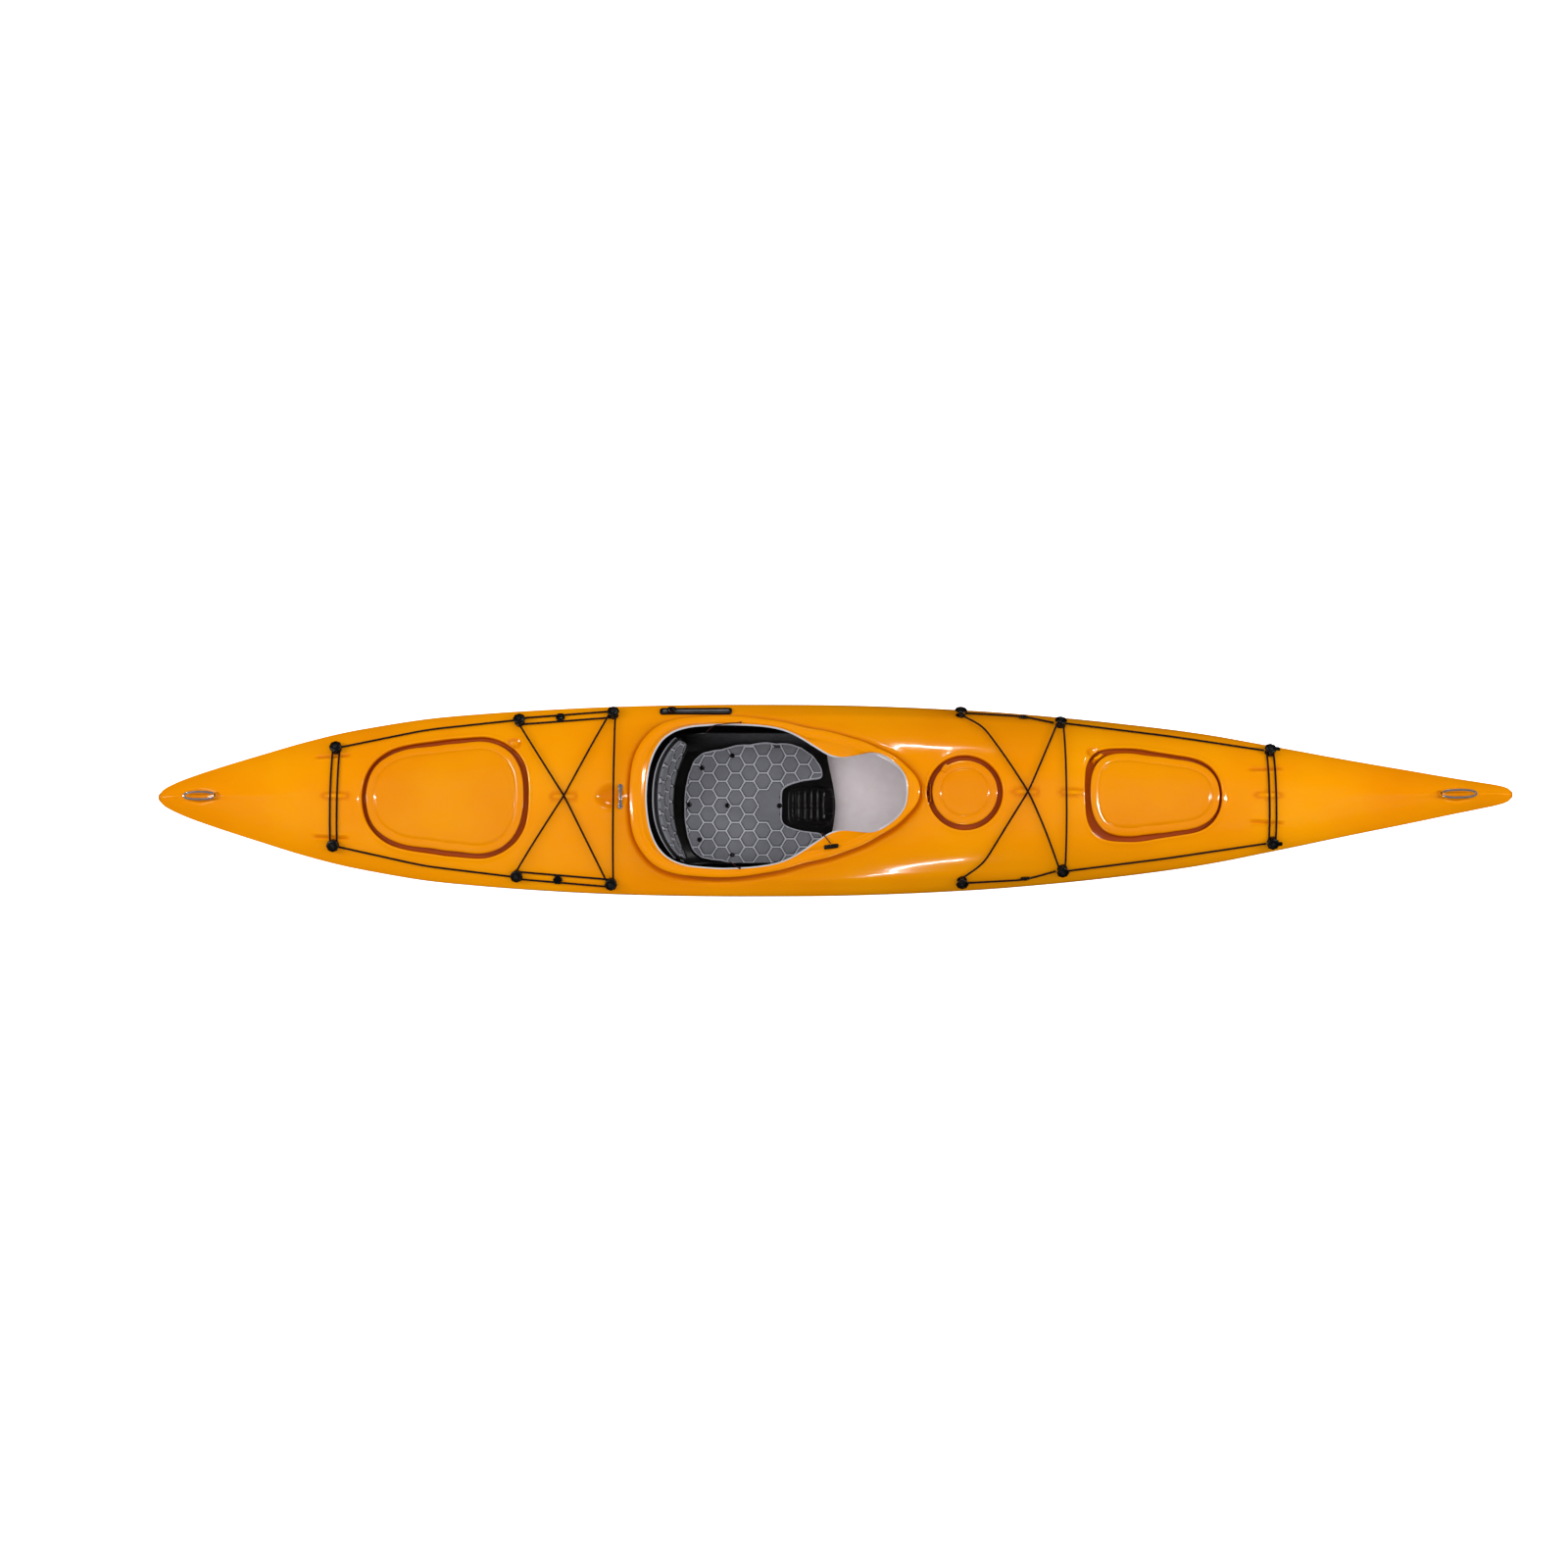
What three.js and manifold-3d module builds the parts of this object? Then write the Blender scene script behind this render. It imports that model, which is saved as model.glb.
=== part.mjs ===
// Sea-touring kayak, 4.2 m, built as separate pieces.
// Millimetres. +X to the bow, +Y to port, +Z up, keel on Z = 0.
import * as THREE from 'three';
import Module from 'manifold-3d';
const wasm = await Module(); wasm.setup();

// ---------------------------------------------------------------- main sizes
const LENGTH = 4200, HALF = LENGTH / 2;
const WALL = 5;              // sheet thickness of hull and deck
const SEAM_DROP = 14;        // parting line below the sheer
const GAP = 0.3;             // clearance between neighbouring pieces
const N_ST = 30;             // stations along the hull
const CORD = 3;              // cord radius

// station tables: x, value
const HB_T = [[-2100,8],[-2092,19],[-2080,29],[-2060,40],[-2035,52],[-1990,70],[-1930,91],[-1870,111],[-1810,130],[-1750,149],[-1690,168],[-1630,185],[-1570,201],[-1510,215],[-1450,226],[-1390,237],[-1330,247],[-1270,256],[-1150,268],[-1030,277.5],[-910,285],[-790,291.5],[-670,296.5],[-550,299.6],[-430,301.8],[-300,302.8],[-100,302.2],[0,301],[120,298],[240,293.5],[360,287.5],[480,280.5],[600,271],[720,260],[840,247.5],[960,233.5],[1080,218],[1200,199],[1320,175.5],[1440,152],[1560,127.5],[1680,104],[1800,81],[1920,57],[2000,42],[2060,30],[2085,22],[2094,15],[2100,8]];
const ZS_T = [[-2100,223],[-1900,212],[-1600,198],[-1200,184],[-800,177],[-300,175],[300,175],[800,180],[1200,193],[1600,217],[1900,246],[2100,275]];
const HR_T = [[-2100,6],[-2060,20],[-1985,34],[-1750,50],[-1550,57],[-1200,60],[-840,62],[-640,63],[-400,80],[-100,113],[230,147],[410,157],[590,152],[735,140],[880,122],[1123,93],[1345,64],[1600,46],[1955,36],[2060,20],[2100,6]];
const ZK_T = [[-2100,205],[-2090,172],[-2070,132],[-2030,92],[-1960,58],[-1850,36],[-1700,22],[-1400,9],[-1000,1.5],[-700,0],[700,0],[1000,1.5],[1300,9],[1550,24],[1750,52],[1900,95],[2000,145],[2060,195],[2090,232],[2100,258]];
const FLAT_T = [[-2100,0.5],[-1900,1],[-1600,6],[-1200,40],[-750,92],[750,92],[1200,36],[1600,5],[1900,1],[2100,0.5]];

function pchip(tab) {
  const xs = tab.map(p => p[0]), ys = tab.map(p => p[1]), n = xs.length;
  const h = [], d = [], m = new Array(n).fill(0);
  for (let i = 0; i < n - 1; i++) { h.push(xs[i + 1] - xs[i]); d.push((ys[i + 1] - ys[i]) / h[i]); }
  for (let i = 1; i < n - 1; i++) if (d[i - 1] * d[i] > 0) {
    const w1 = 2 * h[i] + h[i - 1], w2 = h[i] + 2 * h[i - 1];
    m[i] = (w1 + w2) / (w1 / d[i - 1] + w2 / d[i]);
  }
  m[0] = d[0]; m[n - 1] = d[n - 2];
  return x => {
    x = Math.min(Math.max(x, xs[0]), xs[n - 1]);
    let i = 0; while (i < n - 2 && x > xs[i + 1]) i++;
    const t = (x - xs[i]) / h[i], t2 = t * t, t3 = t2 * t;
    return (2*t3 - 3*t2 + 1) * ys[i] + (t3 - 2*t2 + t) * h[i] * m[i] + (3*t2 - 2*t3) * ys[i+1] + (t3 - t2) * h[i] * m[i+1];
  };
}
const HB = pchip(HB_T), ZS = pchip(ZS_T), HR = pchip(HR_T), ZK = pchip(ZK_T), FLAT = pchip(FLAT_T);
const clamp = (v, a, b) => Math.min(Math.max(v, a), b);
const smooth = t => { t = clamp(t, 0, 1); return t * t * (3 - 2 * t); };
function camber(s, x) {
  s = clamp(Math.abs(s), 0, 1);
  const e = smooth((Math.abs(x) - 1300) / 700);
  return Math.pow(1 - Math.pow(s, 2.4), 0.8) * (1 - e) + Math.pow(1 - Math.pow(s, 1.35), 0.95) * e;
}
const deckZ = (x, y) => ZS(x) + HR(x) * camber(y / HB(x), x);
function deckNormal(x, y) {
  const e = 2, dx = (deckZ(x + e, y) - deckZ(x - e, y)) / (2 * e), dy = (deckZ(x, y + e) - deckZ(x, y - e)) / (2 * e);
  return new THREE.Vector3(-dx, -dy, 1).normalize();
}

// ---------------------------------------------------------------- solids
function man(verts, tris) {
  return new wasm.Manifold(new wasm.Mesh({ numProp: 3, vertProperties: Float32Array.from(verts.flat()), triVerts: Uint32Array.from(tris.flat()) }));
}
// stack of closed rings, capped at both ends by a centre point (or the one given)
function stack(rings, capA, capB) {
  const n = rings[0].length, v = [], t = [];
  rings.forEach(r => r.forEach(p => v.push(p)));
  const mid = r => [0, 1, 2].map(k => r.reduce((a, p) => a + p[k], 0) / r.length);
  const a = v.length; v.push(capA || mid(rings[0])); v.push(capB || mid(rings[rings.length - 1]));
  for (let i = 0; i < rings.length - 1; i++) for (let j = 0; j < n; j++) {
    const p = i * n + j, q = i * n + (j + 1) % n, r = p + n, s = q + n;
    t.push([p, q, s], [p, s, r]);
  }
  for (let j = 0; j < n; j++) {
    t.push([a, (j + 1) % n, j]);
    const o = (rings.length - 1) * n; t.push([a + 1, o + j, o + (j + 1) % n]);
  }
  return facing(v, t);
}
// the same for thin sections whose second half runs back beside the first
function thinStack(rings) {
  const n = rings[0].length, h = n / 2, v = [], t = [];
  rings.forEach(r => r.forEach(p => v.push(p)));
  for (let i = 0; i < rings.length - 1; i++) for (let j = 0; j < n; j++) {
    const p = i * n + j, q = i * n + (j + 1) % n, r = p + n, s = q + n;
    t.push([p, q, s], [p, s, r]);
  }
  const o = (rings.length - 1) * n;
  for (let j = 0; j < h - 1; j++) {
    const a = j, b = j + 1, c = n - 2 - j, d = n - 1 - j;
    t.push([a, c, b], [a, d, c], [o + a, o + b, o + c], [o + a, o + c, o + d]);
  }
  return facing(v, t);
}
// rings joined end to end
function loopStack(rings) {
  const n = rings[0].length, m = rings.length, v = [], t = [];
  rings.forEach(r => r.forEach(p => v.push(p)));
  for (let i = 0; i < m; i++) for (let j = 0; j < n; j++) {
    const k = (i + 1) % m, p = i * n + j, q = i * n + (j + 1) % n, r = k * n + j, s = k * n + (j + 1) % n;
    t.push([p, q, s], [p, s, r]);
  }
  return facing(v, t);
}
function facing(v, t) {
  let vol = 0;
  for (const [a, b, c] of t) { const A = v[a], B = v[b], C = v[c];
    vol += A[0] * (B[1] * C[2] - B[2] * C[1]) + A[1] * (B[2] * C[0] - B[0] * C[2]) + A[2] * (B[0] * C[1] - B[1] * C[0]); }
  if (vol < 0) t = t.map(([a, b, c]) => [a, c, b]);
  return man(v, t);
}
function fromGeo(geo, mtx) {
  const g = geo.clone(); if (mtx) g.applyMatrix4(mtx);
  const pos = g.attributes.position, idx = g.index, v = [], t = [], map = new Map();
  const at = i => {
    const p = [pos.getX(i), pos.getY(i), pos.getZ(i)], k = p.map(c => Math.round(c * 1e3)).join(',');
    if (!map.has(k)) { map.set(k, v.length); v.push(p); } return map.get(k);
  };
  const n = idx ? idx.count : pos.count;
  for (let i = 0; i < n; i += 3) {
    const a = at(idx ? idx.getX(i) : i), b = at(idx ? idx.getX(i + 1) : i + 1), c = at(idx ? idx.getX(i + 2) : i + 2);
    if (a !== b && b !== c && a !== c) t.push([a, b, c]);
  }
  return facing(v, t);
}
function box(x0, x1, y0, y1, z0, z1) {
  const g = new THREE.BoxGeometry(x1 - x0, y1 - y0, z1 - z0);
  return fromGeo(g, new THREE.Matrix4().makeTranslation((x0 + x1) / 2, (y0 + y1) / 2, (z0 + z1) / 2));
}
// placed frame: local z along dir, local x as near as can be to ref
function frameAt(p, dir, ref = new THREE.Vector3(1, 0, 0)) {
  const z = dir.clone().normalize(), y = new THREE.Vector3().crossVectors(z, ref).normalize(), x = new THREE.Vector3().crossVectors(y, z);
  return new THREE.Matrix4().makeBasis(x, y, z).setPosition(p);
}
// block between two height functions of (x, y) on a grid
function block(xs, ys, lo, hi) {
  const v = [], t = [], nx = xs.length, ny = ys.length;
  for (const f of [lo, hi]) for (const x of xs) for (const y of ys) v.push([x, y, f(x, y)]);
  const o = nx * ny, id = (i, j) => i * ny + j;
  for (let i = 0; i < nx - 1; i++) for (let j = 0; j < ny - 1; j++) {
    const a = id(i, j), b = id(i + 1, j), c = id(i + 1, j + 1), d = id(i, j + 1);
    t.push([a, d, c], [a, c, b], [o + a, o + b, o + c], [o + a, o + c, o + d]);
  }
  const side = (a, b) => t.push([a, b, o + b], [a, o + b, o + a]);
  for (let i = 0; i < nx - 1; i++) { side(id(i, 0), id(i + 1, 0)); side(id(i + 1, ny - 1), id(i, ny - 1)); }
  for (let j = 0; j < ny - 1; j++) { side(id(0, j + 1), id(0, j)); side(id(nx - 1, j), id(nx - 1, j + 1)); }
  return facing(v, t);
}
const range = (a, b, n) => Array.from({ length: n + 1 }, (_, i) => a + (b - a) * i / n);

// ---------------------------------------------------------------- hull sections
const NB = 6, ND = 5;   // points on the bottom and on the deck, each side
function halfSection(x) {
  const b = HB(x), zk = ZK(x), zs = ZS(x), D = zs - zk, e = smooth((Math.abs(x) - 700) / 1200), f = Math.min(FLAT(x), 0.5 * b);
  const w = b - f, P1 = [f + w * (0.50 - 0.25 * e), D * 0.30 * e], P2 = [f + w * (0.97 - 0.17 * e), D * (0.11 + 0.47 * e)];
  const pts = [[0, zk], [f, zk]];
  for (let i = 1; i <= NB; i++) {
    const t = 1 - Math.pow(1 - i / NB, 1.15), u = 1 - t;
    pts.push([f*u*u*u + 3*u*u*t*P1[0] + 3*u*t*t*P2[0] + t*t*t*b, zk*u*u*u + 3*u*u*t*(zk+P1[1]) + 3*u*t*t*(zk+P2[1]) + t*t*t*zs]);
  }
  for (let i = 1; i <= ND; i++) { const s = Math.cos(i / ND * Math.PI / 2); pts.push([b * s, i === ND ? zs + HR(x) : zs + HR(x) * camber(s, x)]); }
  return pts;       // keel -> bilge -> sheer -> ridge
}
function insetSection(x, d) {
  const h = halfSection(x), full = h.concat(h.slice(1, -1).reverse().map(([y, z]) => [-y, z])), n = full.length;
  if (!d) return full;
  return full.map((p, i) => {
    const a = full[(i + n - 1) % n], c = full[(i + 1) % n];
    let n1 = [p[1] - a[1], -(p[0] - a[0])], n2 = [c[1] - p[1], -(c[0] - p[0])];
    const l1 = Math.hypot(...n1) || 1, l2 = Math.hypot(...n2) || 1;
    n1 = [n1[0] / l1, n1[1] / l1]; n2 = [n2[0] / l2, n2[1] / l2];
    const s = [n1[0] + n2[0], n1[1] + n2[1]], k = d / Math.max(0.55, (1 + n1[0] * n2[0] + n1[1] * n2[1]));
    return [p[0] - s[0] * k, p[1] - s[1] * k];
  });
}
const STATIONS = range(0, 1, N_ST).map(t => HALF * (0.45 * (2 * t - 1) + 0.55 * Math.sin((t - 0.5) * Math.PI)));
function loft(d, end) {
  const xs = end >= HALF ? STATIONS.map(x => x * end / HALF) : [-end, ...STATIONS.filter(x => Math.abs(x) < end - 12), end];
  return stack(xs.map(x => insetSection(x, d).map(([y, z]) => [x, y, z])), [xs[0], 0, (ZK(xs[0]) + ZS(xs[0])) / 2], [end, 0, (ZK(end) + ZS(end)) / 2]);
}
const outer = loft(0, HALF), outerPlus = loft(-GAP, HALF + 0.3);
const inner = loft(WALL, 2038);

const part = x => ZS(x) - SEAM_DROP;
const xcut = [-2200, ...STATIONS, 2200];
const above = block(xcut, [-500, 500], x => part(x) + GAP / 2, () => 900);
const below = block(xcut, [-500, 500], () => -60, x => part(x) - GAP / 2);
const shell = outer.subtract(inner);
let hull = shell.intersect(below), deck = shell.intersect(above);

// half width of the cavity at height z
function sideY(x, z, d) {
  const h = insetSection(x, d).slice(0, 2 + NB + ND), i = h.findIndex((p, k) => k > 1 && p[1] > z), a = h[i - 1], b = h[i];
  return a[0] + (b[0] - a[0]) * (z - a[1]) / (b[1] - a[1]);
}

// ---------------------------------------------------------------- closed outlines (port half, polar about a centre)
function outline(cx, tab) {
  const f = pchip(tab);
  return { cx, r: a => f(Math.abs(((a * 180 / Math.PI + 540) % 360) - 180)) };
}
const KEYHOLE = outline(-215, [[0,439],[5,436],[9,425],[12,410.5],[15,394],[18,375],[20.5,350],[22.5,310],[24.5,274],[27,250],[30,237],[34,228],[38,222],[44,215.5],[50,211.5],[60,210],[70,211.5],[80,213.5],[90,217],[100,224.5],[110,237.5],[120,259],[130,288.5],[138,321],[145,347],[152,362],[158,366],[163,366.5],[172,364.5],[180,364]]);
const RIM = outline(-215, [[0,484],[4,478],[9,451],[15,420],[21,380],[27,352],[34,317],[42,290],[50,267],[60,246.5],[70,240.5],[80,239.5],[90,242],[100,253],[110,270],[120,294],[130,328],[138,366],[146,399],[152,413],[158,421],[163,424],[172,420],[180,417.5]]);
const REAR_G = outline(-1190, [[0,242],[12,245.5],[24,250.5],[32,249.5],[42,242],[52,231],[62,217],[72,200],[82,189],[92,184.5],[102,184],[112,189],[122,201],[132,219],[142,241],[150,255.5],[158,266.5],[166,272.5],[180,275.5]]);
const REAR_L = outline(-1190, [[0,226],[12,228.5],[24,232],[32,232],[42,226.5],[52,215],[62,200.5],[72,184],[82,172.5],[92,168.5],[102,168],[112,172.5],[122,185],[132,203.5],[142,224.5],[150,240.5],[158,253.5],[166,259.5],[180,262]]);
const FRONT_G = outline(970, [[0,233.5],[10,231.5],[20,224],[30,207.5],[40,183.5],[50,162],[60,149],[70,141.5],[80,139],[90,141.5],[100,147.5],[110,156],[120,168.5],[130,187],[138,202],[146,208.5],[154,207.5],[162,202.5],[170,197.5],[180,194.5]]);
const FRONT_L = outline(970, [[0,226],[10,223.5],[20,213],[30,192],[40,167],[50,146],[60,134],[70,127],[80,123],[90,123.5],[100,129],[110,138],[120,150],[130,164.5],[138,175],[146,181],[154,182.5],[162,181.5],[170,179.5],[180,177.5]]);
const DAY_G = { cx: 404, r: () => 116.5 }, DAY_L = { cx: 404, r: () => 100.5 };
// point on an outline at angle a, moved in by d along the outline's normal
function onLine(o, a, d = 0) {
  const at = q => [o.cx + o.r(q) * Math.cos(q), o.r(q) * Math.sin(q)];
  const p = at(a); if (!d) return p;
  const e = 0.02, q0 = at(a - e), q1 = at(a + e), tx = q1[0] - q0[0], ty = q1[1] - q0[1], l = Math.hypot(tx, ty);
  return [p[0] - ty / l * d, p[1] + tx / l * d];
}
const turn = n => Array.from({ length: n }, (_, i) => (i + 0.5) / n * 2 * Math.PI);
function prism(o, d, n, z0, z1) { const A = turn(n); return stack([A.map(a => [...onLine(o, a, d), z0]), A.map(a => [...onLine(o, a, d), z1])]); }
// swept ring: profile points are [inset, depth below the deck surface, outline]
function deckRing(n, prof) { return loopStack(turn(n).map(a => prof.map(([d, h, o]) => { const [x, y] = onLine(o, a, d); return [x, y, deckZ(x, y) - h]; }))); }

// ---------------------------------------------------------------- hatches
const NH = 28;
const WELL = (G, L) => [[-3, 1.4, G], [3.5, 1.4, G], [3.5, 24, G], [6.4, 24, L], [6.4, 9.4, L], [10.4, 9.4, L], [10.4, 28, L], [-1, 28, G], [-1, 4.2, G], [-3, 4.2, G]];
function hatch(G, L, n) {
  deck = deck.subtract(prism(G, 0, n, 100, 600)).add(deckRing(n, WELL(G, L)));
  const c = [L.cx, 0], A = turn(n), rings = [];
  const ring = (d, k, z) => rings.push(A.map(a => { const [px, py] = onLine(L, a, d), x = c[0] + (px - c[0]) * k, y = py * k; return [x, y, deckZ(x, y) + z]; }));
  ring(27, 0.5, 2.2); ring(27, 1, 1.6); ring(23, 1, 0); ring(3, 1, -0.2); ring(0, 1, -2.4); ring(0, 1, -16); ring(3.6, 1, -16); ring(3.6, 1, -4.6); ring(27, 1, -4.6); ring(27, 0.5, -4.2);
  const top = [c[0], 0, deckZ(c[0], 0) + 2.4], bot = [c[0], 0, deckZ(c[0], 0) - 4];
  const cover = stack(rings, top, bot);
  const seal = deckRing(n, [[5.4, 5.3, L], [12.5, 5.3, L], [12.5, 8.9, L], [5.4, 8.9, L]]);
  return [cover, seal];
}
const [rearCover, rearSeal] = hatch(REAR_G, REAR_L, NH);
const [frontCover, frontSeal] = hatch(FRONT_G, FRONT_L, NH);
const [dayCover, daySeal] = hatch(DAY_G, DAY_L, 24);
// tub hung under the small round hatch
const pod = (() => {
  const A = turn(24), I = [[30, 143.5], [77, 140.5], [87.5, 126], [93.4, 40], [93.4, 28.6]], R = [[97, 28.6], [97, 40], [91, 128], [80, 144], [30, 147]];
  const ring = ([r, h]) => A.map(a => { const x = 404 + r * Math.cos(a), y = r * Math.sin(a); return [x, y, (h < 60 ? deckZ(x, y) : deckZ(404, 0)) - h]; });
  return stack([...I.map(ring), ...R.map(ring)]);
})();

// ---------------------------------------------------------------- cockpit
const RIMZ = pchip([[-640,271],[-460,259],[-320,254],[-215,262],[-90,280],[30,302],[118,326],[187,348],[275,362]]);
const KEYZ = pchip([[-600,262],[-460,250],[-320,246],[-215,254],[-90,271],[30,291],[118,315],[187,339],[240,352]]);
const angC = (() => { const a = [0,3,7,11,15,18,20.5,22.5,24.5,27,30,34,39,45,53,62,72,84,96,108,120,131,140,148,155,162,170,180], r = a.map(v => v * Math.PI / 180);
  return r.concat(r.slice(1, -1).reverse().map(v => 2 * Math.PI - v)); })();
deck = deck.subtract(stack([100, 600].map(z => angC.map(a => [...onLine(RIM, a, 13.4), z]))));
const coaming = loopStack(angC.map(a => {
  const at = (o, d, f) => { const [x, y] = onLine(o, a, d); return [x, y, f(x, y)]; };
  const rz = k => x => RIMZ(x) + k, kzz = k => x => KEYZ(x) + k;
  return [
    at(RIM, 0, rz(-7)), at(RIM, 1.6, rz(-2)), at(RIM, 6, rz(0)), at(RIM, 13, rz(-1.5)),
    at(KEYHOLE, -1, kzz(0)), at(KEYHOLE, 0, kzz(-1.5)), at(KEYHOLE, 0, kzz(-4.6)), at(RIM, 18.6, rz(-9)),
    at(RIM, 18.6, (x, y) => deckZ(x, y) - 8), at(RIM, 14, (x, y) => deckZ(x, y) - 8), at(RIM, 14, rz(-12)), at(RIM, 1.5, rz(-12))];
}));

// ---------------------------------------------------------------- dimples moulded in the deck
const SEC_X = -662;          // security bar
function dimple(x, y, rx, ry, depth) {
  const n = deckNormal(x, y), g = new THREE.SphereGeometry(1, 14, 6), p = new THREE.Vector3(x, y, deckZ(x, y) + 4);
  const m = k => frameAt(p, n).multiply(new THREE.Matrix4().makeScale(rx + k, ry + k, depth + 4 + k));
  deck = deck.add(fromGeo(g, m(3.6)).intersect(outer)).subtract(fromGeo(g, m(0)));
}
dimple(-1966, 0, 66, 26, 12); dimple(1931, 0, 70, 27, 12); dimple(SEC_X - 32, 0, 52, 27, 18);

// ---------------------------------------------------------------- bulkheads
const bulk = (x, t) => loft(WALL + 5.4, 2000).intersect(box(x, x + t, -400, 400, -50, 600));
const rearBulkhead = bulk(-765, 8), frontBulkhead = bulk(738, 8);

// ---------------------------------------------------------------- seat
const SEAT = { x0: -520, x1: 6 };
// profile: [y, z], from the centre to the top of the port hip plate
const seatRise = x => 6 * smooth((x + 260) / 230) + 12 * smooth((-420 - x) / 100);
const hipTop = x => 212 - 40 * smooth((-380 - x) / 120) - 34 * smooth((x + 120) / 120);
function seatProfile(x) {
  const r = seatRise(x), h = hipTop(x);
  return [[0, 36 + r], [60, 36 + r], [110, 38 + r], [150, 46 + r], [178, 62 + r], [194, 88 + r], [201, 125], [203, 0.5 * (125 + h)], [204, h]];
}
const SEATX = range(SEAT.x0, SEAT.x1, 8);
const lerpTab = (tab, v) => { let i = 0; while (i < tab.length - 2 && v > tab[i + 1][0]) i++; const [a, b] = [tab[i], tab[i + 1]]; return a[1] + (b[1] - a[1]) * (v - a[0]) / (b[0] - a[0]); };
function seatZ(x, y) {
  let i = 0; while (i < SEATX.length - 2 && x > SEATX[i + 1]) i++;
  const k = (x - SEATX[i]) / (SEATX[i + 1] - SEATX[i]), z = q => lerpTab(seatProfile(q), Math.abs(y));
  return z(SEATX[i]) * (1 - k) + z(SEATX[i + 1]) * k;
}
const seatPan = (() => {
  const T = 4, rings = SEATX.map(x => {
    const half = seatProfile(x), up = half.slice(1).reverse().map(([y, z]) => [-y, z]).concat(half), n = up.length;
    const off = up.map((p, i) => { const a = up[Math.max(0, i - 1)], c = up[Math.min(n - 1, i + 1)], dx = c[0] - a[0], dz = c[1] - a[1], l = Math.hypot(dx, dz); return [p[0] + dz / l * T, p[1] - dx / l * T]; });
    return up.concat(off.reverse()).map(([y, z]) => [x, y, z]);
  });
  // narrow moulding between the thighs
  const horn = stack([[0, 62], [0, 66], [9, 60], [11, 48]].map(([h, w]) => {
    const A = turn(16); return A.map(a => { const c = Math.cos(a), s = Math.sin(a), k = 0.35, X = -72 + 74 * Math.sign(c) * Math.pow(Math.abs(c), k), Y = w * Math.sign(s) * Math.pow(Math.abs(s), k); return [X, Y, 40 + h + (h === 0 ? (w === 62 ? -3 : 2) : 4)]; }); }));
  return thinStack(rings).add(horn);
})();
const PAD = [[-464,0],[-462,60],[-452,105],[-436,135],[-412,152],[-372,160],[-330,166],[-290,172],[-215,176],[-150,174],[-100,166],[-62,148],[-36,122],[-30,96],[-38,84],[-80,80],[-130,74],[-156,62],[-163,46],[-164,0]];
const padShape = (grow) => { const P = PAD.concat(PAD.slice(1, -1).reverse().map(([x, y]) => [x, -y])); return P; };
const seatPad = (() => {
  const P = padShape(), s = new THREE.Shape(P.map(p => new THREE.Vector2(...p)));
  const g = fromGeo(new THREE.ExtrudeGeometry(s, { depth: 200, bevelEnabled: false, steps: 1 }));
  const xs = [-476, ...SEATX.filter(x => x > -470 && x < -30), -20], ys = [-178,-164,-150,-130,-110,-85,-60,0,60,85,110,130,150,164,178];
  return block(xs, ys, (x, y) => seatZ(x, y) + 1.2, (x, y) => seatZ(x, y) + 13).intersect(g);
})();

// ---------------------------------------------------------------- backrest (leans back at rest)
const BR = { x: -508, z: 96, h: 150, w: 192, lean: Math.tan(16 * Math.PI / 180) };
const brX = (y, z) => BR.x - (z - BR.z) * BR.lean + 64 * Math.pow(Math.abs(y) / 196, 2.3);
function band(t0, t1, zlo, zhi, w, nU = 14, nV = 4) {
  const rings = range(-w, w, nU).map(y => {
    const e = Math.pow(Math.abs(y) / w, 5) * 26, lo = zlo + e, hi = zhi - e, back = [], front = [];
    for (const z of range(lo, hi, nV)) {
      const k = 1 - 0.35 * Math.pow(Math.abs(y) / w, 6);
      back.push([brX(y, z) + t0, y, z]); front.push([brX(y, z) + t0 + (t1 - t0) * k, y, z]);
    }
    return back.concat(front.reverse());
  });
  return thinStack(rings);
}
const backShell = band(-12, -6, BR.z, BR.z + BR.h, BR.w);
const backPad = band(-5.6, 10, BR.z + 6, BR.z + BR.h - 6, BR.w - 8);
const backStrap = band(-17, -12.8, BR.z + 66, BR.z + 104, BR.w, 14, 1);

// ---------------------------------------------------------------- footrests
const FR = { xa: 300, xb: 690, z: 118 };
const frA = sideY(FR.xa, FR.z, WALL) - 9, frB = sideY(FR.xb, FR.z, WALL) - 9, FRSLOPE = Math.atan2(frB - frA, FR.xb - FR.xa);
function footFrame(side) {
  const xm = (FR.xa + FR.xb) / 2, ym = side * (frA + frB) / 2;
  return new THREE.Matrix4().makeTranslation(xm, ym, FR.z).multiply(new THREE.Matrix4().makeRotationZ(side * FRSLOPE));
}
function footRail(side) {
  const L = (FR.xb - FR.xa) / 2, m = footFrame(side), s = -side;   // s points inboard
  const web = new THREE.BoxGeometry(2 * L, 3, 34); web.translate(0, side * 1.5, 0);
  let r = fromGeo(web, m);
  for (const z of [-15.5, 15.5]) { const g = new THREE.BoxGeometry(2 * L, 8, 3); g.translate(0, s * 2.5, z); r = r.add(fromGeo(g, m)); }
  return r.subtract(shellKeep);
}
const shellKeep = outer.subtract(loft(WALL + 0.4, 2036));
function footPedal(side) {
  const m = footFrame(side), s = -side, parts = [];
  const add = (w, d, h, x, y, z) => { const g = new THREE.BoxGeometry(w, d, h); g.translate(x, s * y, z); parts.push(fromGeo(g, m)); };
  add(56, 5.4, 26, -6, 4.2, 0);            // shoe inside the channel
  add(40, 16, 18, -6, 13, 0);              // neck
  add(12, 84, 116, -20, 60, 12);           // foot plate
  for (const z of [-26, -6, 14, 34, 54]) add(4, 78, 5, -27.5, 60, z);
  return parts.reduce((a, b) => a.add(b));
}

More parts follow.
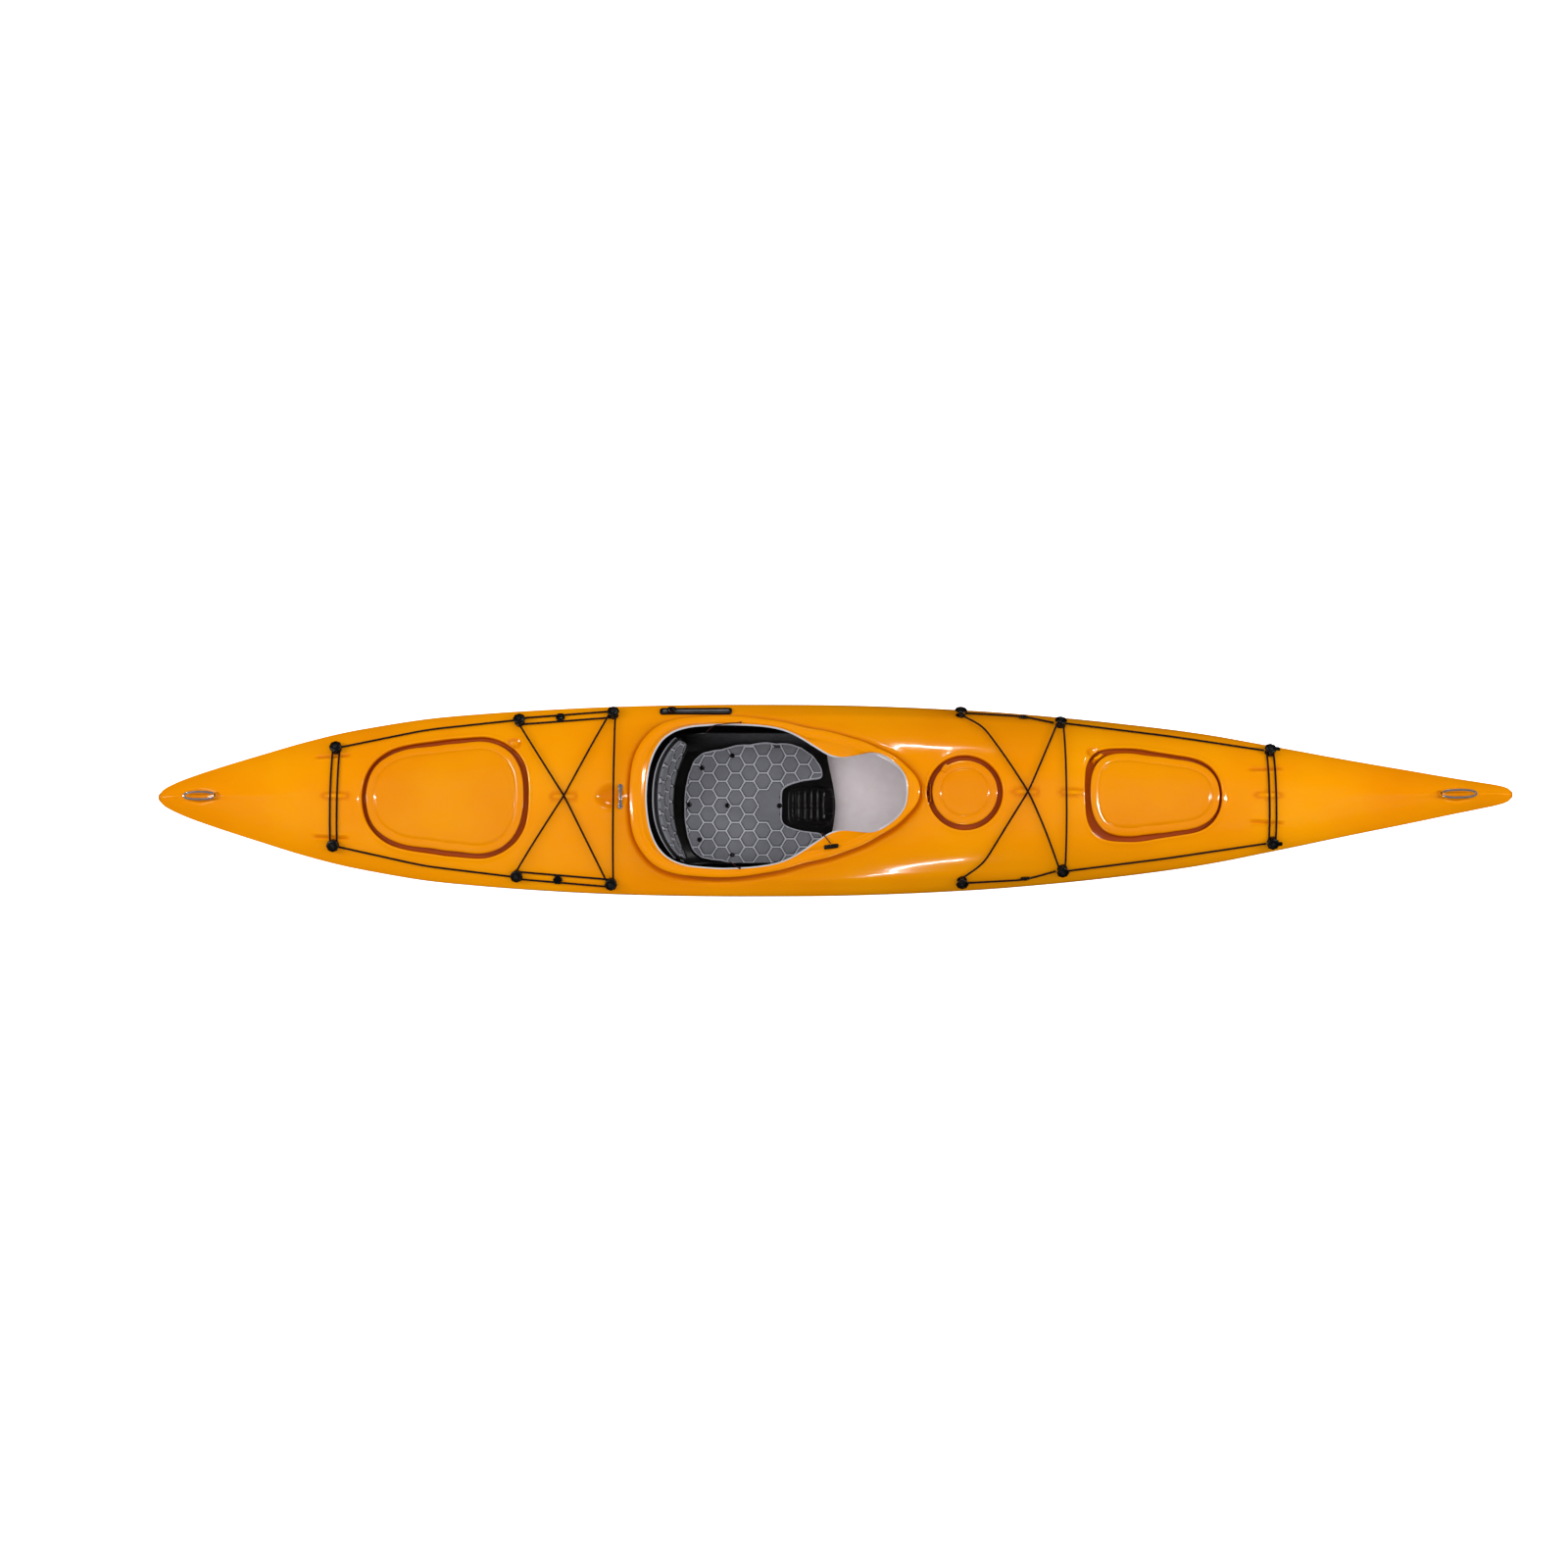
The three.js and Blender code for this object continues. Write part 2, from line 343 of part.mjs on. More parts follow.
// ---------------------------------------------------------------- skeg
const SK = { x0: -1800, x1: -1462, px: -1492, pz: 66 };
const skegSlot = box(SK.x0 + 8, SK.x1 - 10, -5.2, 5.2, -20, 130);
hull = hull.subtract(skegSlot);
// inside of the hull bottom at a given distance from the keel line
function floorZ(x, y) {
  const h = insetSection(x, WALL), i = Math.max(1, h.findIndex((p, k) => k > 0 && p[0] >= y)), a = h[i - 1], b = h[i];
  return a[1] + (b[1] - a[1]) * (y - a[0]) / (b[0] - a[0]);
}
const skegBox = (() => {
  const o = block([SK.x0, ...STATIONS.filter(x => x > SK.x0 + 5 && x < SK.x1 - 5), SK.x1], [-9, 9], x => floorZ(x, 9) + 3.2, () => 176), i = box(SK.x0 + 4, SK.x1 - 4, -5.2, 5.2, -20, 171);
  return o.subtract(i).subtract(fromGeo(new THREE.CylinderGeometry(3.4, 3.4, 40, 16), new THREE.Matrix4().makeTranslation(SK.px, 0, SK.pz)));
})();
const bladePts = [[14, -14], [20, 6], [8, 24], [-60, 44], [-150, 62], [-235, 78], [-276, 82], [-288, 70], [-286, 48], [-262, 6], [-232, -22], [-120, -30], [-30, -30]];
const skegBlade = (() => {
  const s = new THREE.Shape(bladePts.map(p => new THREE.Vector2(...p)));
  const g = new THREE.ExtrudeGeometry(s, { depth: 5, bevelEnabled: true, bevelThickness: 1, bevelSize: 2, bevelOffset: -2, bevelSegments: 1, curveSegments: 4 });
  g.translate(0, 0, -2.5); g.rotateX(Math.PI / 2);
  return fromGeo(g, new THREE.Matrix4().makeTranslation(SK.px, 0, SK.pz)).subtract(fromGeo(new THREE.CylinderGeometry(3.6, 3.6, 40, 16), new THREE.Matrix4().makeTranslation(SK.px, 0, SK.pz)));
})();
const skegPin = fromGeo(new THREE.CylinderGeometry(3, 3, 17.4, 16), new THREE.Matrix4().makeTranslation(SK.px, 0, SK.pz));

// slider for the skeg on the port side deck
const SL = { x0: -545, x1: -318, y: 276 };
const slMid = new THREE.Vector3((SL.x0 + SL.x1) / 2, SL.y, 0); slMid.z = deckZ(slMid.x, SL.y);
const slN = deckNormal(slMid.x, SL.y), slAxis = new THREE.Vector3(SL.x1 - SL.x0, 0, deckZ(SL.x1, SL.y) - deckZ(SL.x0, SL.y)).normalize();
const slM = frameAt(slMid, slN, slAxis), slL = (SL.x1 - SL.x0) / 2;
const lbox = (m, w, d, h, x, y, z) => { const g = new THREE.BoxGeometry(w, d, h); g.translate(x, y, z); return fromGeo(g, m); };
let track = lbox(slM, 2 * slL, 24, 9, 0, 0, 1.5).subtract(lbox(slM, 2 * slL - 12, 13, 6, 0, 0, 4)).subtract(lbox(slM, 2 * slL - 12, 6, 20, 0, 0, 4));
track = track.add(lbox(slM, 2 * slL, 24, 1.6, 0, 0, -2.6));
deck = deck.subtract(lbox(slM, 2 * slL + 0.8, 24.8, 12, 0, 0, 2.2));
track = track.intersect(lbox(slM, 2 * slL, 24, 9, 0, 0, 1.5));
const KNOB_X = -slL + 38;
const knob = lbox(slM, 26, 11.6, 3.6, KNOB_X, 0, 4.2).add(lbox(slM, 30, 20, 7, KNOB_X, 0, 11)).add(lbox(slM, 20, 14, 6, KNOB_X, 0, 16)).add(lbox(slM, 22, 10, 5, KNOB_X, 0, 6.6));

// ---------------------------------------------------------------- deck fittings
function fitting(x, y, lobe = 0) {
  const n = deckNormal(x, y), m = frameAt(new THREE.Vector3(x, y, deckZ(x, y)), n);
  const pts = [[0, -6], [15, -6], [15, 0.7], [6.4, 1.4], [6.2, 16.2], [18.5, 18], [19, 20.4], [13, 24], [0, 25]].map(p => new THREE.Vector2(...p));
  const g = new THREE.LatheGeometry(pts, 9); g.rotateX(Math.PI / 2);
  let f = fromGeo(g, m);
  if (lobe) f = f.add(lbox(m, 14, 13, 5.4, 22 * lobe, 0, 20));
  return f.subtract(outerPlus);
}
const FIT = {
  stern_port: [-1550, 149.5], stern_stbd: [-1550, -149.5], rear_a_port: [-983, 241], rear_a_stbd: [-983, -241], rear_b_port: [-690, 265], rear_b_stbd: [-690, -265],
  front_a_port: [398, 259], front_a_stbd: [398, -259], front_b_port: [708, 225], front_b_stbd: [708, -225], bow_port: [1360, 139.5], bow_stbd: [1360, -139.5] };

// ---------------------------------------------------------------- cords
function sweep(pts, r, sides = 6, closed = false) {
  const P = pts.map(p => new THREE.Vector3(...p)), n = P.length, rings = [];
  let up = null;
  for (let i = 0; i < n; i++) {
    const a = P[closed ? (i + n - 1) % n : Math.max(0, i - 1)], c = P[closed ? (i + 1) % n : Math.min(n - 1, i + 1)];
    const t = c.clone().sub(a).normalize();
    const ref = new THREE.Vector3(0, 0, 1), s = new THREE.Vector3().crossVectors(t, ref).normalize(), u = new THREE.Vector3().crossVectors(s, t);
    rings.push(Array.from({ length: sides }, (_, k) => { const q = k / sides * 2 * Math.PI, v = P[i].clone().addScaledVector(s, r * Math.cos(q)).addScaledVector(u, r * Math.sin(q)); return [v.x, v.y, v.z]; }));
  }
  return closed ? loopStack(rings) : stack(rings);
}
// points over the deck along a polyline, h above the surface along the normal
function over(line, h, step = 60, bumps = []) {
  const out = [];
  for (let i = 0; i < line.length - 1; i++) {
    const [a, b] = [line[i], line[i + 1]], L = Math.hypot(b[0] - a[0], b[1] - a[1]), n = Math.max(1, Math.round(L / step));
    for (let k = 0; k < n; k++) out.push([a[0] + (b[0] - a[0]) * k / n, a[1] + (b[1] - a[1]) * k / n]);
  }
  out.push(line[line.length - 1]);
  return out.map(([x, y], i) => {
    const nn = deckNormal(x, y), hh = (typeof h === 'function' ? h(x, y, i) : h) + bumps.reduce((s, [bx, by, bh, br]) => s + bh * smooth(1 - Math.hypot(x - bx, y - by) / br), 0);
    return [x + nn.x * hh, y + nn.y * hh, deckZ(x, y) + nn.z * hh];
  });
}
const H1 = CORD + 2.3, H2 = CORD + 9.7;
// loop round two posts
function loopAround(a, b, wide, h, step, bow = 0) {
  const dx = b[0] - a[0], dy = b[1] - a[1], L = Math.hypot(dx, dy), ux = dx / L, uy = dy / L, vx = -uy, vy = ux, line = [];
  const arc = (c, s) => { for (const q of range(-84, 84, 4)) { const t = s * q * Math.PI / 180; line.push([c[0] + wide * (s * ux * Math.cos(t) + vx * Math.sin(t)), c[1] + wide * (s * uy * Math.cos(t) + vy * Math.sin(t))]); } };
  arc(b, 1); arc(a, -1); line.push(line[0]);
  const pts = over(line, h, step); pts.pop();
  return sweep(pts, CORD, 6, true);
}
const PR = 6.4 + CORD + 1.2;     // cord centre from a post's axis
const sternLoop = loopAround(FIT.stern_stbd, FIT.stern_port, PR, H1, 46);
const bowLoop = loopAround(FIT.bow_stbd, FIT.bow_port, PR, H1, 46);
const rearSide = s => loopAround([FIT.rear_a_port[0], s * FIT.rear_a_port[1]], [FIT.rear_b_port[0], s * FIT.rear_b_port[1]], PR, H1, 60);
// one cord: a fitting, across to the far one, round it, back across, round, across again
function crossCord(a, b, mid, out, crossBump, viaP, viaS) {
  const [ax, ay] = a, [bx, by] = b, line = [];
  const round = (cx, cy, q0, q1) => { for (const q of range(q0, q1, 4)) { const t = q * Math.PI / 180; line.push([cx + out * PR * Math.cos(t), cy + PR * Math.sin(t)]); } };
  line.push([ax - out * 2, ay - PR]);
  viaP.forEach(p => line.push(p));
  line.push(mid); viaS.forEach(p => line.push(p));
  round(bx, -by, -120, 50);
  round(bx, by, -50, 120);
  viaS.slice().reverse().forEach(([x, y]) => line.push([x, -y]));
  line.push([mid[0], 0.01]); viaP.slice().reverse().forEach(([x, y]) => line.push([x, -y]));
  line.push([ax - out * 2, -ay + PR]);
  const half = line.length / 2;
  let seen = 0;
  const pts = []; const raw = over(line, H2, 62);
  // lift the second pass over the first where they cross
  let k = 0; const n = raw.length;
  return sweep(raw.map((p, i) => { const d = Math.hypot(p[0] - mid[0], p[1] - mid[1]); const lift = (i > n / 2 ? 1 : -1) * 4 * smooth(1 - d / 120); return [p[0], p[1], p[2] + lift]; }), CORD, 6);
}
const rearCross = crossCord(FIT.rear_a_port, FIT.rear_b_port, [-836, 0], 1, null, [], []);
const frontCross = crossCord(FIT.front_a_port, FIT.front_b_port, [598, 0], 1, null, [[462, 208]], []);
const frontSide = s => {
  const pts = over([[398 + PR + 3, s * 264], [592, s * 254], [700 - PR - 2, s * 230]], H1, 50);
  const m = pts[Math.round(pts.length / 2) - 1];
  return sweep(pts, CORD, 6);
};
const line4 = (a, b, s, e) => {
  const A = [a[0] + e * (PR + 3), s * (a[1] + 6)], B = [b[0] - e * (PR + 3), s * (b[1] + 4)];
  return A[0] < B[0] ? [A, B] : [B, A];
};
const sternLine = s => sweep(over([[-1550 + PR + 3, s * 155], [-1270, s * 213], [-983 - PR - 3, s * 245]], H1, 80), CORD, 6);
const bowLine = s => sweep(over([[708 + PR + 3, s * 229], [1040, s * 189], [1360 - PR - 8, s * 144]], H1, 80), CORD, 6);

// ---------------------------------------------------------------- end rings
function ring(x, a, b, r) {
  const n = 24, c = [];
  for (let i = 0; i < n; i++) { const t = (i + 0.5) / n * 2 * Math.PI, X = x + (a - r) * Math.sign(Math.cos(t)) * Math.pow(Math.abs(Math.cos(t)), 0.8), Y = (b - r) * Math.sign(Math.sin(t)) * Math.pow(Math.abs(Math.sin(t)), 0.9); c.push([X, Y, deckZ(X, 0) + r + 3.4]); }
  return rr => sweep(c, rr, 6, true);
}
const sternRing = ring(-1966, 52, 15, 3.3), bowRing = ring(1931, 56, 15, 3.3);
const saddle = (x, rg) => {
  const n = deckNormal(x, 0), m = frameAt(new THREE.Vector3(x, 0, deckZ(x, 0)), n);
  return lbox(m, 16, 22, 22, 0, 0, 4).subtract(outerPlus).subtract(rg(3.9));
};
const sternSaddle = saddle(-1966 + 50, sternRing), bowSaddle = saddle(1931 - 54, bowRing);

// ---------------------------------------------------------------- security bar
const secBar = (() => {
  const parts = [box(SEC_X - 5.5, SEC_X + 5.5, -40, 40, deckZ(SEC_X, 0) - 2.6, deckZ(SEC_X, 0) + 1.6)];
  for (const s of [-1, 1]) { 
    const l = new THREE.LatheGeometry([[0, -14], [4, -14], [9, -2], [9, 1], [6.5, 4.2], [0, 6]].map(p => new THREE.Vector2(...p)), 12); l.rotateX(Math.PI / 2);
    parts.push(fromGeo(l, new THREE.Matrix4().makeTranslation(SEC_X, s * 31, deckZ(SEC_X, 31) - 1))); }
  return parts.reduce((a, b) => a.add(b));
})();
deck = deck.subtract(box(SEC_X - 6, SEC_X + 6, -41, 41, deckZ(SEC_X, 0) - 3.2, deckZ(SEC_X, 0) + 40));
for (const s of [-1, 1]) { const l = new THREE.LatheGeometry([[0, -15], [4.6, -15], [9.6, -2.6], [9.6, 30], [0, 30]].map(p => new THREE.Vector2(...p)), 12); l.rotateX(Math.PI / 2);
  deck = deck.subtract(fromGeo(l, new THREE.Matrix4().makeTranslation(SEC_X, s * 31, deckZ(SEC_X, 31) - 1))); }

// ---------------------------------------------------------------- loose ends
const adjCord = sweep([[-37, -119, 258], [-34, -122, 274], [-30, -127.5, 285], [-25, -134, 289.6], [-17, -145, 293.5], [-9, -156, 297.6]], 1.6, 6);
const toggle = (() => {
  const s = new THREE.Shape([[-30, -6], [18, -9], [20, 5], [-26, 7]].map(p => new THREE.Vector2(...p)));
  const g = new THREE.ExtrudeGeometry(s, { depth: 7, bevelEnabled: true, bevelThickness: 1, bevelSize: 1, bevelOffset: -1, bevelSegments: 1 });
  g.rotateZ(0.12); g.rotateY(-0.13);
  return fromGeo(g, new THREE.Matrix4().makeTranslation(-8, -166, 299.5));
})();
const knot = (x, y, z) => fromGeo(new THREE.IcosahedronGeometry(3.4, 1), new THREE.Matrix4().makeTranslation(x, y, z));
const tailPort = sweep([[-396, 207, 228], [-388, 211, 243], [-379, 217, 252.5], [-368, 222.5, 256], [-335, 226, 257], [-300, 229, 258.4], [-290, 230, 259.2]], 1.6, 6).add(knot(-290, 230, 260));
const tailStbd = sweep([[-324, -203, 234], [-318, -207, 248], [-310, -213, 254.5], [-301, -222, 257.4], [-290, -228, 258.8]], 1.6, 6).add(knot(-290, -228, 260));

// ---------------------------------------------------------------- colours
const skin = (hex, roughness, metalness = 0) => new THREE.MeshStandardMaterial({ color: hex, roughness, metalness });
const ORANGE = skin(0xf29b00, 0.22), ORANGE2 = skin(0xf08f00, 0.25), PALE = skin(0xd9d2cf, 0.5), BLACK = skin(0x141312, 0.45), RUBBER = skin(0x1b1a1a, 0.8),
  FOAM = skin(0x85868b, 0.85), FOAM2 = skin(0xa2a4aa, 0.8), STEEL = skin(0xc9cbce, 0.18, 1), ROPE = skin(0x2a1413, 0.9), GREYP = skin(0x6d6e72, 0.4), ALU = skin(0xa9acb0, 0.35, 1);

const root = new THREE.Group(); root.name = 'touring_kayak';
function put(name, solid, mat) {
  const m = solid.getMesh(), g = new THREE.BufferGeometry(), np = m.numProp, n = m.vertProperties.length / np, pos = new Float32Array(n * 3);
  for (let i = 0; i < n; i++) for (let k = 0; k < 3; k++) pos[3 * i + k] = m.vertProperties[np * i + k];
  g.setAttribute('position', new THREE.BufferAttribute(pos, 3)); g.setIndex(new THREE.BufferAttribute(Uint32Array.from(m.triVerts), 1));
  g.computeVertexNormals();
  const mesh = new THREE.Mesh(g, mat); mesh.name = name; root.add(mesh);
}
put('hull_shell', hull.simplify(0.06), ORANGE); put('deck_shell', deck, ORANGE);
put('cockpit_coaming', coaming, ORANGE);
put('rear_hatch_cover', rearCover, ORANGE2); put('rear_hatch_seal', rearSeal, RUBBER);
put('front_hatch_cover', frontCover, ORANGE2); put('front_hatch_seal', frontSeal, RUBBER);
put('day_hatch_cover', dayCover, ORANGE2); put('day_hatch_seal', daySeal, RUBBER); put('day_pod', pod, BLACK);
put('rear_bulkhead', rearBulkhead, PALE); put('front_bulkhead', frontBulkhead, PALE);
put('seat_pan', seatPan, BLACK); put('seat_pad', seatPad, FOAM);
put('backrest_shell', backShell, FOAM2); put('backrest_pad', backPad, FOAM); put('backrest_strap', backStrap, RUBBER);
for (const [s, n] of [[1, 'port'], [-1, 'stbd']]) {
  put('footrest_rail_' + n, footRail(s), ALU); put('footrest_pedal_' + n, footPedal(s), BLACK);
  put('rear_side_bungee_' + n, rearSide(s), ROPE); put('front_side_bungee_' + n, frontSide(s), ROPE);
  put('stern_deck_line_' + n, sternLine(s), ROPE); put('bow_deck_line_' + n, bowLine(s), ROPE);
}
put('skeg_box', skegBox, PALE); put('skeg_blade', skegBlade, BLACK); put('skeg_pivot_pin', skegPin, STEEL);
put('skeg_slider_track', track, GREYP); put('skeg_slider_knob', knob, BLACK);
for (const [n, [x, y]] of Object.entries(FIT)) put('deck_fitting_' + n, fitting(x, y, n.startsWith('bow') ? 1 : 0), BLACK);
put('stern_end_bungee', sternLoop, ROPE); put('bow_end_bungee', bowLoop, ROPE);
put('rear_cross_bungee', rearCross, ROPE); put('front_cross_bungee', frontCross, ROPE);
put('stern_handle_ring', sternRing(3.3), STEEL); put('bow_handle_ring', bowRing(3.3), STEEL);
put('stern_ring_saddle', sternSaddle, BLACK); put('bow_ring_saddle', bowSaddle, BLACK);
put('security_bar', secBar, STEEL);
put('adjuster_cord', adjCord, ROPE); put('adjuster_toggle', toggle, BLACK);
put('strap_tail_port', tailPort, ROPE); put('strap_tail_stbd', tailStbd, ROPE);
export default root;
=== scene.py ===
import bpy, bmesh, math
import numpy as np
from mathutils import Vector, Matrix, kdtree
from mathutils.geometry import delaunay_2d_cdt


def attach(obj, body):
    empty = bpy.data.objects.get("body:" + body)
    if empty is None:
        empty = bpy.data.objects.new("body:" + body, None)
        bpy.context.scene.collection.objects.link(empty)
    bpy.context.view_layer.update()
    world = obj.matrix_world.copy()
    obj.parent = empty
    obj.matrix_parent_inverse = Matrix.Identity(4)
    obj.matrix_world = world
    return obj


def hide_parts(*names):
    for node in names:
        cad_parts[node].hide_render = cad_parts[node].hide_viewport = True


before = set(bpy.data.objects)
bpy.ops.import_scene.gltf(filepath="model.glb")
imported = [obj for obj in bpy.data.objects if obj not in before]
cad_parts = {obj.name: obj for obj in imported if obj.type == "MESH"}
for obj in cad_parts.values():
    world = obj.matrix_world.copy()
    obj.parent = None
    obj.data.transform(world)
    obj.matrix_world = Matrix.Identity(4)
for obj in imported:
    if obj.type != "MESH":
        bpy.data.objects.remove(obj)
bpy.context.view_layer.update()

MM = 0.001
rng = np.random.default_rng(7)

# ------------------------------------------------------------------ shape functions, the same as the solids use (mm)
HB_T = [[-2100,8],[-2092,19],[-2080,29],[-2060,40],[-2035,52],[-1990,70],[-1930,91],[-1870,111],[-1810,130],[-1750,149],[-1690,168],[-1630,185],[-1570,201],[-1510,215],[-1450,226],[-1390,237],[-1330,247],[-1270,256],[-1150,268],[-1030,277.5],[-910,285],[-790,291.5],[-670,296.5],[-550,299.6],[-430,301.8],[-300,302.8],[-100,302.2],[0,301],[120,298],[240,293.5],[360,287.5],[480,280.5],[600,271],[720,260],[840,247.5],[960,233.5],[1080,218],[1200,199],[1320,175.5],[1440,152],[1560,127.5],[1680,104],[1800,81],[1920,57],[2000,42],[2060,30],[2085,22],[2094,15],[2100,8]]
ZS_T = [[-2100,223],[-1900,212],[-1600,198],[-1200,184],[-800,177],[-300,175],[300,175],[800,180],[1200,193],[1600,217],[1900,246],[2100,275]]
HR_T = [[-2100,6],[-2060,20],[-1985,34],[-1750,50],[-1550,57],[-1200,60],[-840,62],[-640,63],[-400,80],[-100,113],[230,147],[410,157],[590,152],[735,140],[880,122],[1123,93],[1345,64],[1600,46],[1955,36],[2060,20],[2100,6]]
ZK_T = [[-2100,205],[-2090,172],[-2070,132],[-2030,92],[-1960,58],[-1850,36],[-1700,22],[-1400,9],[-1000,1.5],[-700,0],[700,0],[1000,1.5],[1300,9],[1550,24],[1750,52],[1900,95],[2000,145],[2060,195],[2090,232],[2100,258]]
FLAT_T = [[-2100,0.5],[-1900,1],[-1600,6],[-1200,40],[-750,92],[750,92],[1200,36],[1600,5],[1900,1],[2100,0.5]]

def pchip(tab):
    xs = np.array([p[0] for p in tab], float); ys = np.array([p[1] for p in tab], float)
    h = np.diff(xs); d = np.diff(ys) / h; m = np.zeros_like(ys)
    for i in range(1, len(xs) - 1):
        if d[i - 1] * d[i] > 0:
            w1 = 2 * h[i] + h[i - 1]; w2 = h[i] + 2 * h[i - 1]
            m[i] = (w1 + w2) / (w1 / d[i - 1] + w2 / d[i])
    m[0] = d[0]; m[-1] = d[-1]
    def f(x):
        x = np.clip(np.asarray(x, float), xs[0], xs[-1])
        i = np.clip(np.searchsorted(xs, x, side="right") - 1, 0, len(xs) - 2)
        t = (x - xs[i]) / h[i]; t2 = t * t; t3 = t2 * t
        return (2*t3 - 3*t2 + 1) * ys[i] + (t3 - 2*t2 + t) * h[i] * m[i] + (3*t2 - 2*t3) * ys[i+1] + (t3 - t2) * h[i] * m[i+1]
    return f

def relax(tab, width):
    """the same table, smoothed over about width along its first column"""
    f = pchip(tab); a, b = tab[0][0], tab[-1][0]
    xs = np.linspace(a, b, 1051); ys = f(xs); k = int(width / (xs[1] - xs[0])) | 1
    w = np.hanning(k + 2)[1:-1]; w /= w.sum(); pad = k // 2
    # the ends keep their values and slopes
    left = 2 * ys[0] - ys[1:pad + 1][::-1]; right = 2 * ys[-1] - ys[-pad - 1:-1][::-1]
    sm = np.convolve(np.concatenate([left, ys, right]), w, mode="valid")
    return lambda x: np.interp(x, xs, sm)

HBs = relax(HB_T, 150); HBr = pchip(HB_T)
def HB(x):
    x = np.asarray(x, float); e = smooth((2040 - np.abs(x)) / 120)
    return HBs(x) * e + HBr(x) * (1 - e)
ZS = relax(ZS_T, 260); ZKs = relax(ZK_T, 90); ZKr = pchip(ZK_T)
HRs = relax(HR_T, 170); HRr = pchip(HR_T)
def HR(x):
    x = np.asarray(x, float); e = smooth((1990 - np.abs(x)) / 90)
    return HRs(x) * e + HRr(x) * (1 - e)
def ZK(x):
    x = np.asarray(x, float); e = smooth((1950 - np.abs(x)) / 150) * smooth((np.abs(x) - 760) / 120)
    return ZKs(x) * e + ZKr(x) * (1 - e)
FLAT = pchip(FLAT_T)
def smooth(t):
    t = np.clip(t, 0, 1); return t * t * (3 - 2 * t)
def camber(s, x):
    s = np.clip(np.abs(s), 0, 1); e = smooth((np.abs(x) - 1300) / 700)
    return (1 - s ** 2.4) ** 0.8 * (1 - e) + (1 - s ** 1.35) ** 0.95 * e
def deckZ(x, y):
    return ZS(x) + HR(x) * camber(np.asarray(y) / HB(x), x)
def deckN(x, y):
    e = 1.5
    dx = (deckZ(x + e, y) - deckZ(x - e, y)) / (2 * e); dy = (deckZ(x, y + e) - deckZ(x, y - e)) / (2 * e)
    n = np.stack([-dx, -dy, np.ones_like(dx)], -1) if np.ndim(dx) else np.array([-dx, -dy, 1.0])
    return n / np.linalg.norm(n, axis=-1, keepdims=True)

# ------------------------------------------------------------------ outlines
class Outline:
    """closed plan curve, symmetric about the centre line, from a polar half table"""
    def __init__(self, cx, tab, sigma=1.6, n=720):
        f = pchip(tab); a = np.arange(n) / n * 2 * np.pi
        deg = np.abs(((np.degrees(a) + 540) % 360) - 180)
        r = f(deg); P = np.stack([cx + r * np.cos(a), r * np.sin(a)], 1)
        P = self.even(P, n)
        if sigma:
            k = np.arange(-12, 13); w = np.exp(-k * k / (2 * sigma * sigma)); w /= w.sum()
            P = sum(wi * np.roll(P, ki, axis=0) for ki, wi in zip(k, w))
            P[:, 1] = (P[:, 1] - np.roll(P[::-1, 1], 1)) / 2; P[:, 0] = (P[:, 0] + np.roll(P[::-1, 0], 1)) / 2
        self.P = P; self.cx = cx
    @staticmethod
    def even(P, n):
        Q = np.vstack([P, P[:1]]); s = np.concatenate([[0], np.cumsum(np.linalg.norm(np.diff(Q, axis=0), axis=1))])
        t = np.arange(n) / n * s[-1]
        return np.stack([np.interp(t, s, Q[:, 0]), np.interp(t, s, Q[:, 1])], 1)
    def normals(self):
        T = np.roll(self.P, -1, 0) - np.roll(self.P, 1, 0); T /= np.linalg.norm(T, axis=1, keepdims=True)
        return np.stack([-T[:, 1], T[:, 0]], 1)        # inwards
    def at(self, d, n):
        """n points, moved in by d"""
        Q = self.P + self.normals() * d
        idx = (np.arange(n) * len(Q) / n); i = idx.astype(int)
        return Q[i]
    def length(self):
        return float(np.linalg.norm(np.roll(self.P, -1, 0) - self.P, axis=1).sum())

KEY_T = [[0,439],[5,436],[9,425],[12,410.5],[15,394],[18,375],[20.5,350],[22.5,310],[24.5,274],[27,250],[30,237],[34,228],[38,222],[44,215.5],[50,211.5],[60,210],[70,211.5],[80,213.5],[90,217],[100,224.5],[110,237.5],[120,259],[130,288.5],[138,321],[145,347],[152,362],[158,366],[163,366.5],[172,364.5],[180,364]]
RIM_T = [[0,484],[4,478],[9,451],[15,420],[21,380],[27,352],[34,317],[42,290],[50,267],[60,246.5],[70,240.5],[80,239.5],[90,242],[100,253],[110,270],[120,294],[130,328],[138,366],[146,399],[152,413],[158,421],[163,424],[172,420],[180,417.5]]
KEYHOLE = Outline(-215, KEY_T, 3.0); RIM = Outline(-215, RIM_T, 7)
REAR_G = Outline(-1190, [[0,242],[12,245.5],[24,250.5],[32,249.5],[42,242],[52,231],[62,217],[72,200],[82,189],[92,184.5],[102,184],[112,189],[122,201],[132,219],[142,241],[150,255.5],[158,266.5],[166,272.5],[180,275.5]], 5)
REAR_L = Outline(-1190, [[0,226],[12,228.5],[24,232],[32,232],[42,226.5],[52,215],[62,200.5],[72,184],[82,172.5],[92,168.5],[102,168],[112,172.5],[122,185],[132,203.5],[142,224.5],[150,240.5],[158,253.5],[166,259.5],[180,262]], 5)
FRONT_G = Outline(970, [[0,233.5],[10,231.5],[20,224],[30,207.5],[40,183.5],[50,162],[60,149],[70,141.5],[80,139],[90,141.5],[100,147.5],[110,156],[120,168.5],[130,187],[138,202],[146,208.5],[154,207.5],[162,202.5],[170,197.5],[180,194.5]], 5)
